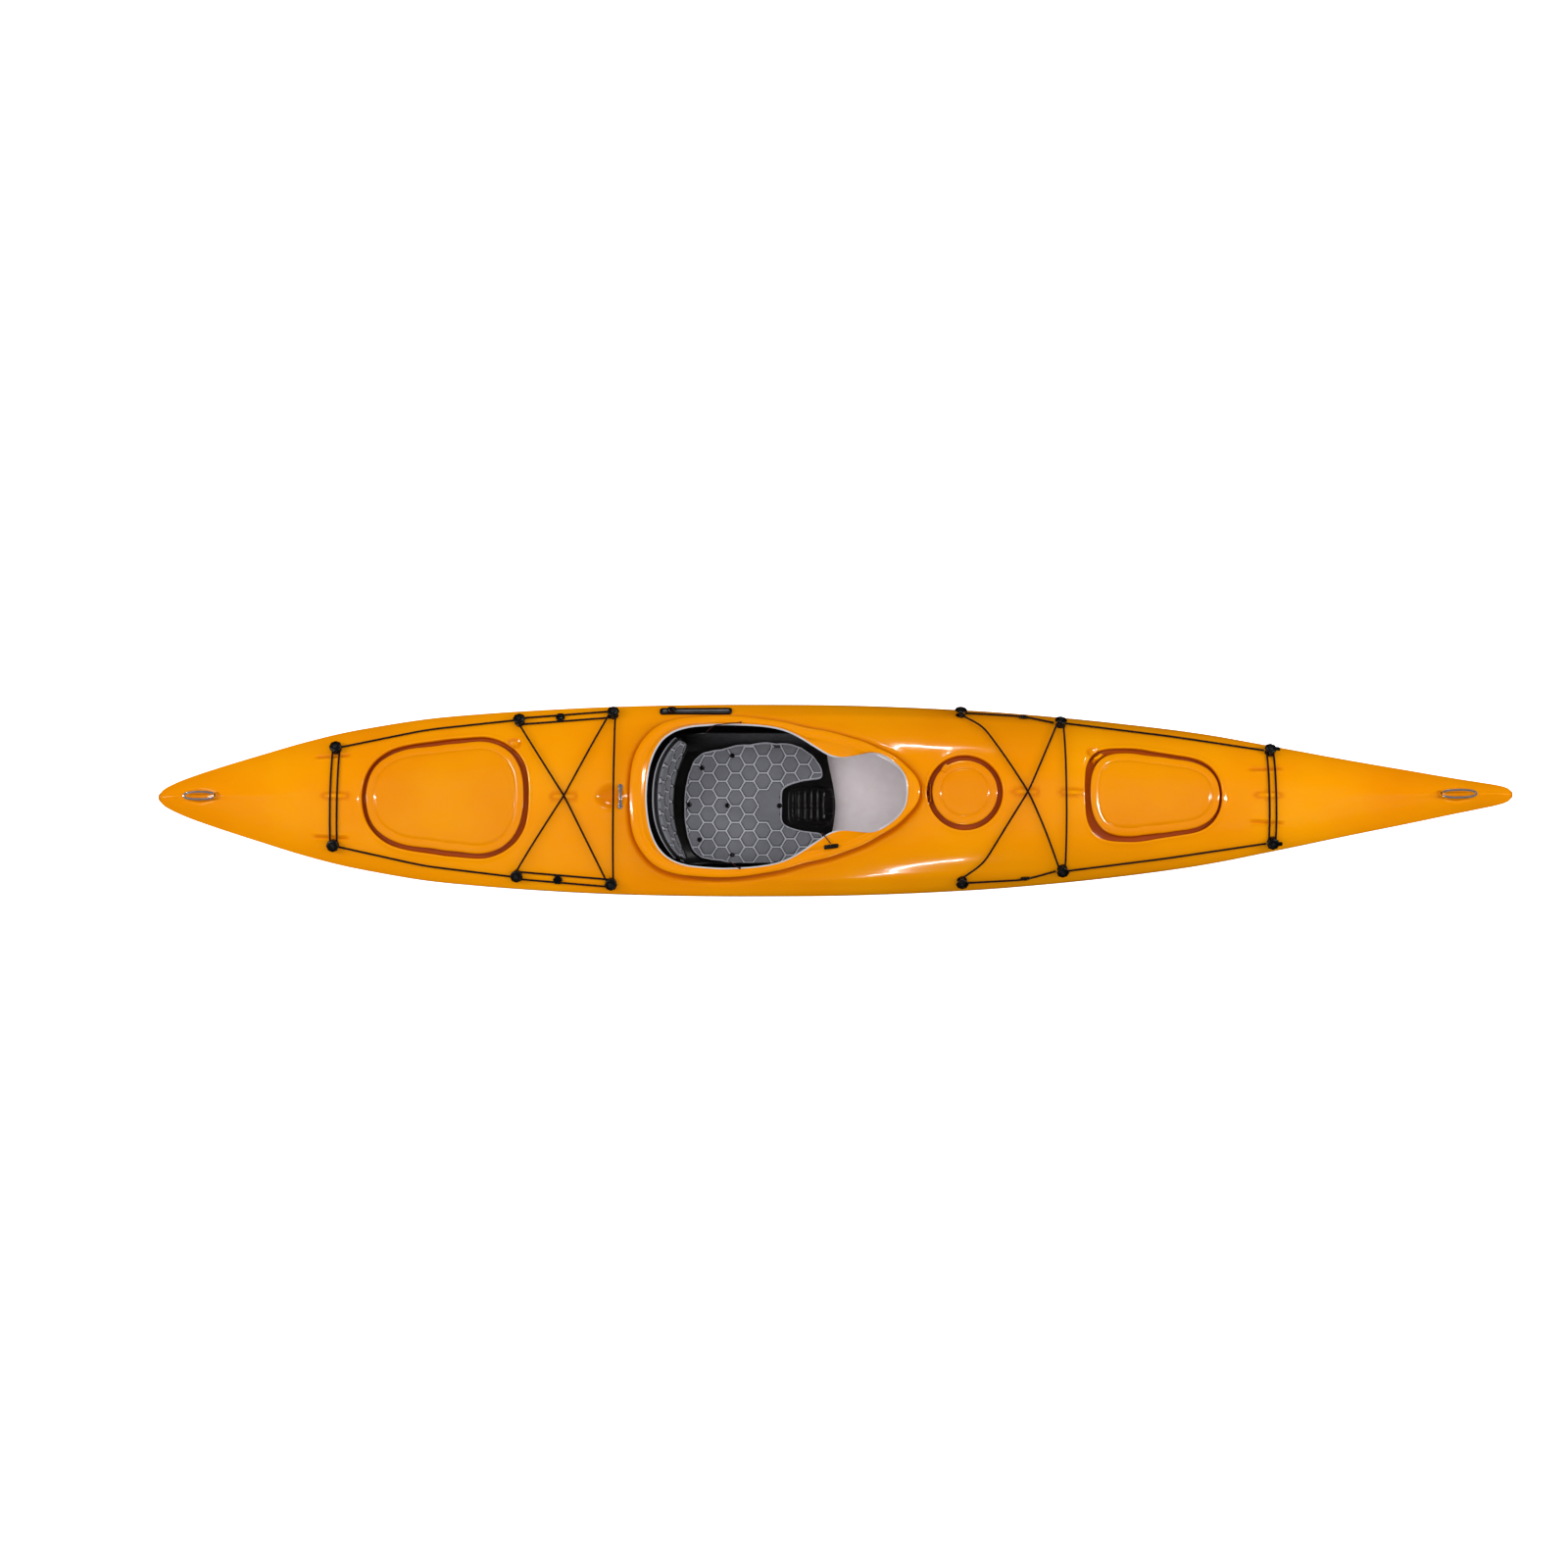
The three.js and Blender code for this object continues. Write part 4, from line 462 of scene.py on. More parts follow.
def build_hull():
    nu, nt = 300, 26; u = np.linspace(-1, 1, nu); xs = 2100 * (0.62 * u + 0.38 * np.sin(u * math.pi / 2))
    rows = []
    b = HB(xs); zk = ZK(xs); zs = ZS(xs); f, p1y, p1z, p2y, p2z = section_p2(xs)
    half = [np.stack([xs, 0 * xs, zk], 1)]
    for k in (0.34, 0.67, 1.0): half.append(np.stack([xs, f * k, zk], 1))
    for t in np.linspace(0, 1, nt)[1:]:
        w = 1 - (1 - t) ** 1.1; q = 1 - w
        y = f*q**3 + 3*q*q*w*p1y + 3*q*w*w*p2y + w**3*b; z = zk*q**3 + 3*q*q*w*p1z + 3*q*w*w*p2z + w**3*zs
        half.append(np.stack([xs, y, z], 1))
    H = np.stack(half, 1)            # nu x m x 3
    slope = (b - p2y) / np.maximum(zs - p2z, 1); zt = zs - DROP - 0.3; yt = b - slope * (DROP + 0.3)
    # rows above the parting line fold down onto it
    over = H[:, :, 2] > zt[:, None] - 1.0
    H[:, :, 1] = np.where(over, yt[:, None], H[:, :, 1]); H[:, :, 2] = np.where(over, zt[:, None], H[:, :, 2])
    low = H[:, 0, 2] > zt; H[:, :, 2] = np.minimum(H[:, :, 2], zt[:, None])
    full = np.concatenate([H[:, :0:-1, :] * np.array([1, -1, 1]), H], 1); nv = full.shape[1]
    V = full.reshape(-1, 3); Fq = grid_faces(nu, nv)
    n0 = len(V); V = np.vstack([V, full[0].mean(0), full[-1].mean(0)])
    for j in range(nv - 1): Fq.append((n0, j, j + 1)); o = (nu - 1) * nv; Fq.append((n0 + 1, o + j + 1, o + j))
    return V, Fq
V, Fq = build_hull()
hull = mesh_object("hull_moulding", V, Fq, [ORANGE, INNER, CUT], np.zeros(len(Fq), int), smooth_deg=40)
bm = bmesh.new(); bm.from_mesh(hull.data)
bmesh.ops.dissolve_degenerate(bm, edges=bm.edges, dist=2e-5); bmesh.ops.recalc_face_normals(bm, faces=bm.faces)
bm.faces.ensure_lookup_table(); low = min(bm.faces, key=lambda f: f.calc_center_median().z)
if low.normal.z > 0: bmesh.ops.reverse_faces(bm, faces=bm.faces)
bm.to_mesh(hull.data); bm.free()
# slot for the skeg blade
bm = bmesh.new(); bm.from_mesh(hull.data)
def by_slot(f): c = f.calc_center_median(); return -1.83 < c.x < -1.43 and abs(c.y) < 0.035 and c.z < 0.15
for co_, no_ in (((-1.793, 0, 0), (1, 0, 0)), ((-1.466, 0, 0), (1, 0, 0)), ((0, 0.0054, 0), (0, 1, 0)), ((0, -0.0054, 0), (0, 1, 0))):
    fs = [f for f in bm.faces if by_slot(f)]; seen = {}
    for f in fs:
        for e in f.edges: seen[e] = 1
        for v in f.verts: seen[v] = 1
    bmesh.ops.bisect_plane(bm, geom=list(seen) + fs, dist=1e-6, plane_co=co_, plane_no=no_)
dead = [f for f in bm.faces if -1.793 < f.calc_center_median().x < -1.466 and abs(f.calc_center_median().y) < 0.0054 and f.calc_center_median().z < 0.15]
bmesh.ops.delete(bm, geom=dead, context="FACES"); bm.to_mesh(hull.data); bm.free()
vg = hull.vertex_groups.new(name="thick")
for v in hull.data.vertices: vg.add([v.index], float(np.clip(HB(v.co.x * 1000) / 60, 0.12, 1)), "REPLACE")
thicken(hull, 4.2, 2, 1)
apply_mods(hull)
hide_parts("hull_shell"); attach(hull, "kayak")

# ------------------------------------------------------------------ cockpit coaming
def build_coaming(n=300):
    Rn = RIM.P; Kn = KEYHOLE.P
    ang = lambda P: np.unwrap(np.arctan2(P[:, 1], P[:, 0] + 215))
    # pair points of the two curves by angle, evenly along the keyhole
    Kp = Outline.even(KEYHOLE.P, n); a = np.arctan2(Kp[:, 1], Kp[:, 0] + 215) % (2 * np.pi)
    def sample(o, d):
        Q = o.P + o.normals() * d; b = np.arctan2(o.P[:, 1], o.P[:, 0] + 215) % (2 * np.pi); i = np.argsort(b); bb = b[i]; Q = Q[i]
        bb = np.concatenate([bb - 2 * np.pi, bb, bb + 2 * np.pi]); Q = np.vstack([Q, Q, Q])
        return np.stack([np.interp(a, bb, Q[:, 0]), np.interp(a, bb, Q[:, 1])], 1)
    rows = []
    def r(o, d, zf): P = sample(o, d); rows.append(np.concatenate([P, np.asarray(zf(P[:, 0], P[:, 1]))[:, None]], 1))
    rz = lambda k: (lambda x, y: RIMZ(x) + k); kz = lambda k: (lambda x, y: KEYZ(x) + k); dz = lambda k: (lambda x, y: deckZ(x, y) + k)
    # outside of the wall up to the lip; the lip's measures shrink where it is narrow
    O_, I_ = sample(RIM, 0), sample(KEYHOLE, 0); wid = np.linalg.norm(O_ - I_, axis=1); kw = np.clip(wid / 49.0, 0.45, 1.0); nr = (I_ - O_) / wid[:, None]
    def q(d, zk_): P = O_ + nr * (d * kw)[:, None]; rows.append(np.concatenate([P, (RIMZ(P[:, 0]) + zk_ * np.clip(kw, 0.7, 1))[:, None]], 1))
    r(RIM, 14, dz(-6)); r(RIM, 14, dz(4)); r(RIM, 13.6, rz(-17)); r(RIM, 12, rz(-14)); r(RIM, 9, rz(-12.8)); r(RIM, 4, rz(-12.4)); r(RIM, 1.6, rz(-11.8)); r(RIM, 0.3, rz(-10.4))
    q(0.4, -8.8); q(2.0, -6.8); q(5.0, -4.8); q(9.5, -2.8); q(14, -1.3); q(18, -0.4); q(21, 0); q(23.5, -0.25); q(26, -1.2); q(29, -1.9); q(32, -1.5); q(34.5, -0.5); q(36.5, -0.1)
    A = rows[-1]; B0 = sample(KEYHOLE, -10); B = np.concatenate([B0, (KEYZ(B0[:, 0]) + 1.2)[:, None]], 1); w = np.maximum(np.einsum("ij,ij->i", B0 - A[:, :2], nr), 0)
    dip = np.clip((w - 8) / 40, 0, 1) * 2.2
    for t in (0.08, 0.2, 0.36, 0.52, 0.68, 0.84, 1.0):
        M = A.copy(); M[:, :2] = A[:, :2] + nr * (w * t)[:, None]; M[:, 2] = A[:, 2] * (1 - t) + B[:, 2] * t - dip * math.sin(math.pi * t); rows.append(M)
    r(KEYHOLE, -7.0, kz(1.0)); r(KEYHOLE, -5.4, kz(0.8)); edge0 = len(rows)
    r(KEYHOLE, -4.7, kz(0.3)); r(KEYHOLE, -3.2, kz(0.0)); r(KEYHOLE, -1.0, kz(-0.3)); r(KEYHOLE, -0.2, kz(-1.2)); r(KEYHOLE, 0, kz(-2.4)); r(KEYHOLE, 0, kz(-4.4)); edge1 = len(rows)
    r(KEYHOLE, -1.0, kz(-5.2)); r(KEYHOLE, -5, kz(-5.4))
    C = rows[-1]; D0 = sample(RIM, 20.5); D = np.concatenate([D0, (RIMZ(D0[:, 0]) - 16)[:, None]], 1)
    for t in (0.33, 0.66): rows.append(C * (1 - t) + D * t - np.array([0, 0, 1.5 * np.sin(math.pi * t)]))
    rows.append(D); r(RIM, 18.8, rz(-20)); r(RIM, 18.6, dz(-6))
    R = np.stack(rows, 1); m = R.shape[1]; V = R.reshape(-1, 3); Fq = grid_faces(n, m, True, True)
    fm = []
    for i in range(n):
        for j in range(m): fm.append(2 if edge0 <= j < edge1 else (1 if j >= edge1 else 0))
    return V, Fq, fm
V, Fq, fm = build_coaming()
coam = outward(mesh_object("cockpit_coaming_moulding", V, Fq, [ORANGE, INNER, CUT], fm, smooth_deg=50))
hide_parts("cockpit_coaming")

# ------------------------------------------------------------------ hatch covers
def build_lid(L, n, dome):
    rings = []
    def add(d, z, k=1.0):
        P = L.at(d, n); c = np.array([L.cx, 0.0]); P = c + (P - c) * k; rings.append(np.concatenate([P, (deckZ(P[:, 0], P[:, 1]) + z)[:, None]], 1))
    for d, z in [(3.4, -5.2), (3.4, -14.4), (2.4, -15.4), (1.0, -15.4), (0, -14.4), (0, -5.0), (0.25, -3.4), (1.0, -1.9), (2.2, -0.8), (4.0, -0.15), (7, 0.15), (13, 0.2), (18, 0.05), (20.5, -0.6), (22.3, -1.6), (24.2, -1.7), (26, -0.8), (28, 0.7), (31, 1.6), (36, 2.1)]: add(d, z)
    for k in (0.92, 0.8, 0.66, 0.5, 0.34, 0.18): add(36, 2.1 + dome * (1 - k * k), k)
    V = np.vstack(rings); m = len(rings); Fq = []
    for i in range(m - 1):
        for j in range(n): Fq.append((i*n + j, i*n + (j+1) % n, (i+1)*n + (j+1) % n, (i+1)*n + j))
    c1 = len(V); V = np.vstack([V, [[L.cx, 0, float(deckZ(L.cx, 0)) + 2.1 + dome]]])
    for j in range(n): Fq.append(((m-1)*n + j, (m-1)*n + (j+1) % n, c1))
    # underside
    und = []
    for k in (0.9, 0.6, 0.3): P = L.at(3.4, n); c = np.array([L.cx, 0.0]); P = c + (P - c) * k; und.append(np.concatenate([P, (deckZ(P[:, 0], P[:, 1]) - 5.0)[:, None]], 1))
    o = len(V); V = np.vstack([V] + und)
    for j in range(n): Fq.append(((j+1) % n, j, o + j, o + (j+1) % n))
    for i in range(2):
        for j in range(n): a = o + i*n; b = a + n; Fq.append((a + (j+1) % n, a + j, b + j, b + (j+1) % n))
    c2 = len(V); V = np.vstack([V, [[L.cx, 0, float(deckZ(L.cx, 0)) - 5.0]]])
    for j in range(n): Fq.append((o + 2*n + (j+1) % n, o + 2*n + j, c2))
    return V, Fq
for key, node, dome in (("rear", "rear_hatch_cover", 2.0), ("front", "front_hatch_cover", 2.0), ("day", "day_hatch_cover", 1.6)):
    G, L, step = HATCHES[key]; n = int(L.length() / 6.5); V, Fq = build_lid(L, n, dome)
    lid = outward(mesh_object(node + "_moulding", V, Fq, [ORANGE_LID], None, smooth_deg=50, body=key + "_hatch"))
    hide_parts(node)
# ------------------------------------------------------------------ seat moulding
def smin(a, b, k):
    h = np.clip(0.5 + 0.5 * (b - a) / k, 0, 1); return b * (1 - h) + a * h - k * h * (1 - h)
def seatRise(x): return 6 * smooth((x + 260) / 230) + 12 * smooth((-420 - x) / 100)
def hipTop(x): return 212 - 40 * smooth((-380 - x) / 120) - 34 * smooth((x + 120) / 120)
def seat_section(x, n=36):
    """points from the centre to the hip's top edge, smooth, as (y, z)"""
    r = float(seatRise(x)); h = float(hipTop(x))
    ctl = np.array([[0, 36 + r], [60, 36 + r], [110, 38 + r], [150, 46 + r], [178, 62 + r], [194, 88 + r], [201, 125], [203, 0.5 * (125 + h)], [204, h]])
    s = np.concatenate([[0], np.cumsum(np.linalg.norm(np.diff(ctl, axis=0), axis=1))]); f1 = pchip(list(zip(s, ctl[:, 0]))); f2 = pchip(list(zip(s, ctl[:, 1])))
    q = s[-1] * np.linspace(0, 1, n); return np.stack([f1(q), f2(q)], 1)
_ZT = {}
def seatZ(x, y):
    x = np.atleast_1d(np.asarray(x, float)); y = np.abs(np.atleast_1d(np.asarray(y, float))); out = np.zeros(np.broadcast(x, y).shape); x, y = np.broadcast_arrays(x, y)
    r = seatRise(x); ys = [0, 60, 110, 150, 178, 194, 201]; zs = [36, 36, 38, 46, 62, 88]
    f = pchip(list(zip(ys, zs + [125]))); z = f(np.clip(y, 0, 200)); k = np.clip((201 - y) / 7, 0, 1)
    return z + r * np.clip((201 - y) / 40, 0, 1)
def horn_h(x, y):
    """the tongue between the thighs: height above the pan, and its cross ribs"""
    q = (np.abs((x + 68) / 72) ** 5 + np.abs(y / 62) ** 5) ** 0.2
    base = 13 * smooth((1.06 - q) / 0.2)
    basin = -4.0 * smooth((0.80 - q) / 0.14) * smooth((-26 - x) / 8)
    ribs = np.zeros_like(x)
    for rx in (-128, -107.5, -87, -67, -47):
        ribs = ribs + 4.2 * smooth((5.4 - np.abs(x - rx)) / 4.2) * smooth((50 - np.abs(y)) / 7)
    chan = -3.2 * smooth((9 - np.abs(y)) / 4) * smooth((-30 - x) / 8) * smooth((x + 142) / 8) * 0.5
    block = 5.5 * smooth((29 - np.abs(y)) / 3.5) * smooth((x + 30) / 4)
    return base + basin + ribs * (q < 0.9) + block * (q < 1.1), chan
def build_seat():
    xs = np.unique(np.concatenate([np.linspace(-520, -440, 14), np.linspace(-440, -168, 30), np.arange(-168, 6.1, 2.0)]))
    ys_half = np.concatenate([np.arange(0, 74.1, 2.2), np.linspace(77, 172, 22)])
    rows = []
    for x in xs:
        t = (x + 520) / 526; sec = seat_section(x, 64)
        bottom = np.stack([ys_half, seatZ(x, ys_half)], 1); top = sec[sec[:, 1] > bottom[-1, 1] + 3]; top = top[top[:, 0] > bottom[-1, 0]]
        # even count for the side part
        s = np.vstack([bottom[-1:], top]); d = np.concatenate([[0], np.cumsum(np.linalg.norm(np.diff(s, axis=0), axis=1))]); q = np.linspace(0, d[-1], 26)[1:]
        side = np.stack([np.interp(q, d, s[:, 0]), np.interp(q, d, s[:, 1])], 1)
        lip = np.array([[206.0, s[-1, 1] + 0.8], [209.5, s[-1, 1] + 0.2], [211.5, s[-1, 1] - 2.0]])
        half = np.vstack([bottom, side]); y = half[:, 0]
        xb = x - 30 * t ** 6 * smooth(y / 205) - 26 * t ** 6 * smooth((half[:, 1] - 90) / 110)
        p = np.stack([xb, y, half[:, 1]], 1); h, chan = horn_h(p[:, 0], p[:, 1]); p[:, 2] += np.where(p[:, 2] < 80, h + chan, 0)
        rows.append(np.vstack([p[:0:-1] * np.array([1, -1, 1]), p]))
    R = np.stack(rows); nu, nv = R.shape[:2]; return R.reshape(-1, 3), grid_faces(nu, nv)
V, Fq = build_seat()
seat = mesh_object("seat_moulding", V, Fq, [BLACK], None, smooth_deg=50)
modify(seat, "SOLIDIFY", thickness=3.4 * MM, offset=-1, use_quality_normals=True); modify(seat, "BEVEL", width=0.9 * MM, segments=2, limit_method="ANGLE", angle_limit=math.radians(50)); apply_mods(seat)
def upward(ob, flip_if):
    if flip_if(ob):
        bm = bmesh.new(); bm.from_mesh(ob.data); bmesh.ops.reverse_faces(bm, faces=bm.faces); bm.to_mesh(ob.data); bm.free()
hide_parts("seat_pan"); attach(seat, "kayak"); outward(seat)

# ------------------------------------------------------------------ foam with raised six-sided cells
def foam_material(name, a, b, rough=0.85):
    m, nt, p = nodes_of(name)
    f = noise(nt, 7, 4, 0.6); g = noise(nt, 260, 4, 0.7, seed=2.0); mix = math_node(nt, "ADD", math_node(nt, "MULTIPLY", f, 0.7), math_node(nt, "MULTIPLY", g, 0.3))
    nt.links.new(ramp(nt, mix, [(0.34, srgb(a)), (0.66, srgb(b))]), p.inputs["Base Color"])
    nt.links.new(remap(nt, g, rough - 0.08, rough + 0.08, 0.3, 0.7), p.inputs["Roughness"]); p.inputs["Sheen Weight"].default_value = 0.12; p.inputs["Specular IOR Level"].default_value = 0.3
    b1 = bump(nt, p, g, 0.35, 0.0009); bump(nt, p, noise(nt, 1400, 2, 0.5, seed=7.0), 0.25, 0.0004, b1)
    return m
# the third foam is a darker copy of the grey: painted shade for the low band at the foot of each ridge between cells
FOAM = foam_material("foam_grey_cells", "#64656b", "#77787e"); FOAM_PALE = foam_material("foam_pale_ridge", "#a2a3ac", "#b6b7be"); FOAM_FOOT_SHADE = foam_material("foam_cell_foot_painted_shade", "#2c2c30", "#3c3c41")
WEB = plastic("webbing_black_woven", "#0f0e0e", "#1d1b1b", 0.8, 420, 0.8, stretch=(1, 1, 4))
CX, CY = 43.5, 53.0
def hex_centres(x0, x1, y0, y1, ox=-441.7):
    C = []
    for k in range(-3, 14):
        for j in range(-8, 9):
            C.append((ox + CX * k, CY * j + (CY / 2 if k % 2 else 0)))
    C = np.array(C); return C[(C[:, 0] > x0) & (C[:, 0] < x1) & (C[:, 1] > y0) & (C[:, 1] < y1)]
def hex_dist(P, C, group):
    """distance to the nearest wall between cells, and the nearest cell; cells of one group have no wall between them"""
    d = ((P[:, None, :] - C[None]) ** 2).sum(2); i = d.argmin(1); best = np.full(len(P), 1e9)
    for n in range(len(C)):
        same = (i == n) | ((group[i] == group[n]) & (group[n] > 0)); L = np.linalg.norm(C[i] - C[n], axis=1); L[same] = 1
        w = np.where(same, 1e9, (d[:, n] - d[np.arange(len(P)), i]) / (2 * L)); best = np.minimum(best, w)
    return best, i
PAD = np.array([[-464,0],[-462,60],[-452,105],[-436,135],[-412,152],[-372,160],[-330,166],[-290,172],[-215,176],[-150,174],[-100,166],[-62,148],[-36,122],[-30,96],[-38,84],[-80,80],[-130,74],[-156,62],[-163,46],[-164,0]], float)
def closed_smooth(P, n, k):
    Q = Outline.even(P, n); w = np.hanning(2 * k + 3)[1:-1]; w /= w.sum(); return sum(wi * np.roll(Q, j - k, axis=0) for j, wi in enumerate(w))
def inset_loop(P, d):
    T = np.roll(P, -1, 0) - np.roll(P, 1, 0); T /= np.linalg.norm(T, axis=1, keepdims=True); N = np.stack([-T[:, 1], T[:, 0]], 1)
    A = 0.5 * np.sum(P[:, 0] * np.roll(P[:, 1], -1) - np.roll(P[:, 0], -1) * P[:, 1]); return P + N * d * (1 if A > 0 else -1)
def hex_points(C, inside_poly, margin):
    """sample points along every wall, so the mesh breaks where the shape does"""
    out = []
    for cx, cy in C:
        out.append([cx, cy])
        ang = np.arange(6) * math.pi / 3; R = CY / math.sqrt(3); corner = np.stack([cx + R * np.cos(ang) * (CX / (1.5 * R)), cy + R * np.sin(ang)], 1)
        for d, m in ((2.3, 9), (4.2, 9), (6.0, 8), (9.0, 6), (15, 3)):
            k = 1 - d / (CY / 2); Q = np.array([cx, cy]) + (corner - [cx, cy]) * k
            for a in range(6):
                for t in np.arange(m) / m: out.append(Q[a] * (1 - t) + Q[(a + 1) % 6] * t)
    O = np.array(out); O = O[inside(O, inset_loop(inside_poly, margin))]
    kd = kdtree.KDTree(len(O)); keep = []
    for i, p in enumerate(O): kd.insert((p[0], p[1], 0), i)
    kd.balance(); dead = np.zeros(len(O), bool)
    for i, p in enumerate(O):
        if dead[i]: continue
        for _, j, _d in kd.find_range((p[0], p[1], 0), 1.5):
            if j != i: dead[j] = True
    return O[~dead]
def build_pad():
    P = np.vstack([PAD, PAD[-2:0:-1] * [1, -1]]); P[:, 1] *= 1 + 0.105 * smooth((np.abs(P[:, 1]) - 100) / 60); P[:, 0] -= 9 * smooth((-380 - P[:, 0]) / 60); P = closed_smooth(P, 300, 3)
    # scalloped rear and side edge that follows the cells
    C = hex_centres(-520, 10, -230, 230); grp = ((C[:, 0] > -245) & (C[:, 0] < -165) & (np.abs(C[:, 1]) < 62)).astype(int)
    d, i = hex_dist(P, C, grp); sc = np.clip(d, 0, 12) * 0.55; sc = np.convolve(np.concatenate([sc[-4:], sc, sc[:4]]), np.ones(9) / 9, "valid")
    mask = smooth((-60 - P[:, 0]) / 60); P = inset_loop(P, 0) + (P - inset_loop(P, 1.0)) * (sc * mask)[:, None] - (P - inset_loop(P, 1.0)) * 2.6
    prof = [(4.5, 0.9, 1), (0.0, 2.0, 0), (0.0, 6.5, 0), (0.7, 8.8, 0), (2.2, 10.2, 0), (4.4, 10.7, 0)]     # inset, height
    pts, loops, hh, base = [], [], {}, 0
    top_prof = prof[1:]
    for (d0, h0, b) in top_prof:
        Q = inset_loop(P, d0 + 0.001); pts.append(Q); loops.append(np.arange(base, base + len(Q)))
        for j in range(len(Q)): hh[base + j] = h0
        base += len(Q)
    I = hex_points(C, P, 6.5); allp = np.vstack(pts + [I]); Vv, F, src = cdt(allp, loops, [])
    keep = inside(Vv[F].mean(1), pts[0]); F = F[keep]
    d, i = hex_dist(Vv, C, grp); rim = smooth((np.array([min(1e3, e) for e in edge_dist(Vv, P)]) - 3.5) / 4.5)
    cell = 4.2 * smooth((d - 2.9) / 3.0) - 2.2 * smooth((d - 7) / 13) + 1.8 * smooth((2.6 - d) / 1.4)
    h = 10.4 + cell * rim; h = np.array([hh.get(int(s), hv) for s, hv in zip(src, h)])
    z = seatZ(Vv[:, 0], Vv[:, 1]) + h
    X = np.stack([Vv[:, 0], Vv[:, 1], z], 1)
    cr = np.cross(Vv[F[:, 1]] - Vv[F[:, 0]], Vv[F[:, 2]] - Vv[F[:, 0]]); F = np.where((cr < 0)[:, None], F[:, ::-1], F)
    # ridges and the pad's edge pale; the low band at each ridge's foot gets the painted-shade foam
    dm = d[F].mean(1); fm = np.where(dm < 2.4, 1, np.where(dm < 4.4, 2, 0)); fm = np.where(edge_dist(Vv[F].mean(1), P) < 5.5, 1, fm)
    # underside: the first loop again, lower, closed by a triangulated sheet
    n = len(P); B = inset_loop(P, 3.5); Bz = seatZ(B[:, 0], B[:, 1]) + 1.4
    bi = np.array([[x, y] for x in np.arange(-455, -35, 26) for y in np.arange(-165, 166, 26)]); bi = bi[inside(bi, inset_loop(P, 14))]
    Vb, Fb, sb = cdt(np.vstack([B, bi]), [np.arange(n)], []); Fb = Fb[inside(Vb[Fb].mean(1), B)]
    zb = np.array([seatZ(x, y)[0] + 1.4 for x, y in Vb]); off = len(X)
    cr = np.cross(Vb[Fb[:, 1]] - Vb[Fb[:, 0]], Vb[Fb[:, 2]] - Vb[Fb[:, 0]]); Fb = np.where((cr > 0)[:, None], Fb[:, ::-1], Fb)
    X = np.vstack([X, np.stack([Vb[:, 0], Vb[:, 1], zb], 1)])
    # join by nearest index: top loop 0 is the first n source points
    top = {int(s): j for j, s in enumerate(src) if 0 <= s < n}; bot = {int(s): j + off for j, s in enumerate(sb) if 0 <= s < n}
    faces = [tuple(f) for f in F] + [tuple(f + off) for f in Fb]; fmat = list(fm) + [0] * len(Fb)
    for j in range(n):
        k = (j + 1) % n
        if j in top and k in top and j in bot and k in bot: faces.append((top[j], bot[j], bot[k], top[k])); fmat.append(1)
    return X, faces, fmat
def edge_dist(V, P):
    kd = kdtree.KDTree(len(P))
    for i, p in enumerate(P): kd.insert((p[0], p[1], 0), i)
    kd.balance(); return np.array([kd.find((v[0], v[1], 0))[2] for v in V])
V, Fq, fm = build_pad()
pad = outward(mesh_object("seat_foam_cells", V, Fq, [FOAM, FOAM_PALE, FOAM_FOOT_SHADE], fm, smooth_deg=60))
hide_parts("seat_pad")

def lathe(prof, n, wobble=None):
    V, F = [], []
    for r, z in prof:
        for k in range(n):
            a = 2 * math.pi * k / n; w = 1 + (wobble(a, r, z) if wobble else 0); V.append((r * w * math.cos(a), r * w * math.sin(a), z))
    m = len(prof)
    for i in range(m - 1):
        for k in range(n): F.append((i*n + k, i*n + (k+1) % n, (i+1)*n + (k+1) % n, (i+1)*n + k))
    V.append((0, 0, prof[0][1])); V.append((0, 0, prof[-1][1]))
    for k in range(n): F.append(((k+1) % n, k, m*n)); F.append(((m-1)*n + k, (m-1)*n + (k+1) % n, m*n + 1))
    return np.array(V, float), F
def frame_at(p, n, xdir=(1, 0, 0)):
    n = np.asarray(n, float) / np.linalg.norm(n); x = np.asarray(xdir, float); x = x - n * x.dot(n); x /= np.linalg.norm(x); y = np.cross(n, x); return np.asarray(p, float), np.stack([x, y, n], 1)
def place(V, p, R): return V @ R.T + p
class Bag:
    """collects meshes that become one piece"""
    def __init__(self): self.V, self.F, self.M = [], [], []; self.n = 0
    def add(self, V, F, m=0):
        self.V.append(np.asarray(V, float)); self.F += [tuple(int(i) + self.n for i in f) for f in F]; self.M += [m] * len(F); self.n += len(V); return self
    def make(self, name, mats, **kw): return outward(mesh_object(name, np.vstack(self.V), self.F, mats, self.M, **kw))
def rbox(cx, cy, cz, w, d, h, r=1.2, top_k=1.0, seg=3):
    """block with rounded upright corners and bevelled top and bottom edges"""
    def ring(rr, z, k, inset):
        P = []
        for sx, sy, a0 in ((1, 1, 0), (-1, 1, 90), (-1, -1, 180), (1, -1, 270)):
            for q in range(seg + 1):
                a = math.radians(a0 + 90 * q / seg); P.append((cx + sx * (w / 2 * k - rr - inset) + rr * math.cos(a), cy + sy * (d / 2 * k - rr - inset) + rr * math.sin(a), z))
        return P
    e = min(r, h / 3); rows = [ring(r, cz - h / 2, 1, e * .9), ring(r, cz - h / 2 + e * .35, 1, e * .25), ring(r, cz - h / 2 + e, 1, 0), ring(r, cz + h / 2 - e, top_k, 0), ring(r, cz + h / 2 - e * .35, top_k, e * .25), ring(r, cz + h / 2, top_k, e * .9)]
    n = len(rows[0]); V = [p for row in rows for p in row]; F = []
    for i in range(5):
        for k in range(n): F.append((i*n + k, i*n + (k+1) % n, (i+1)*n + (k+1) % n, (i+1)*n + k))
    F.append(tuple(range(n))[::-1]); F.append(tuple(range(5 * n, 6 * n))); return np.array(V, float), F

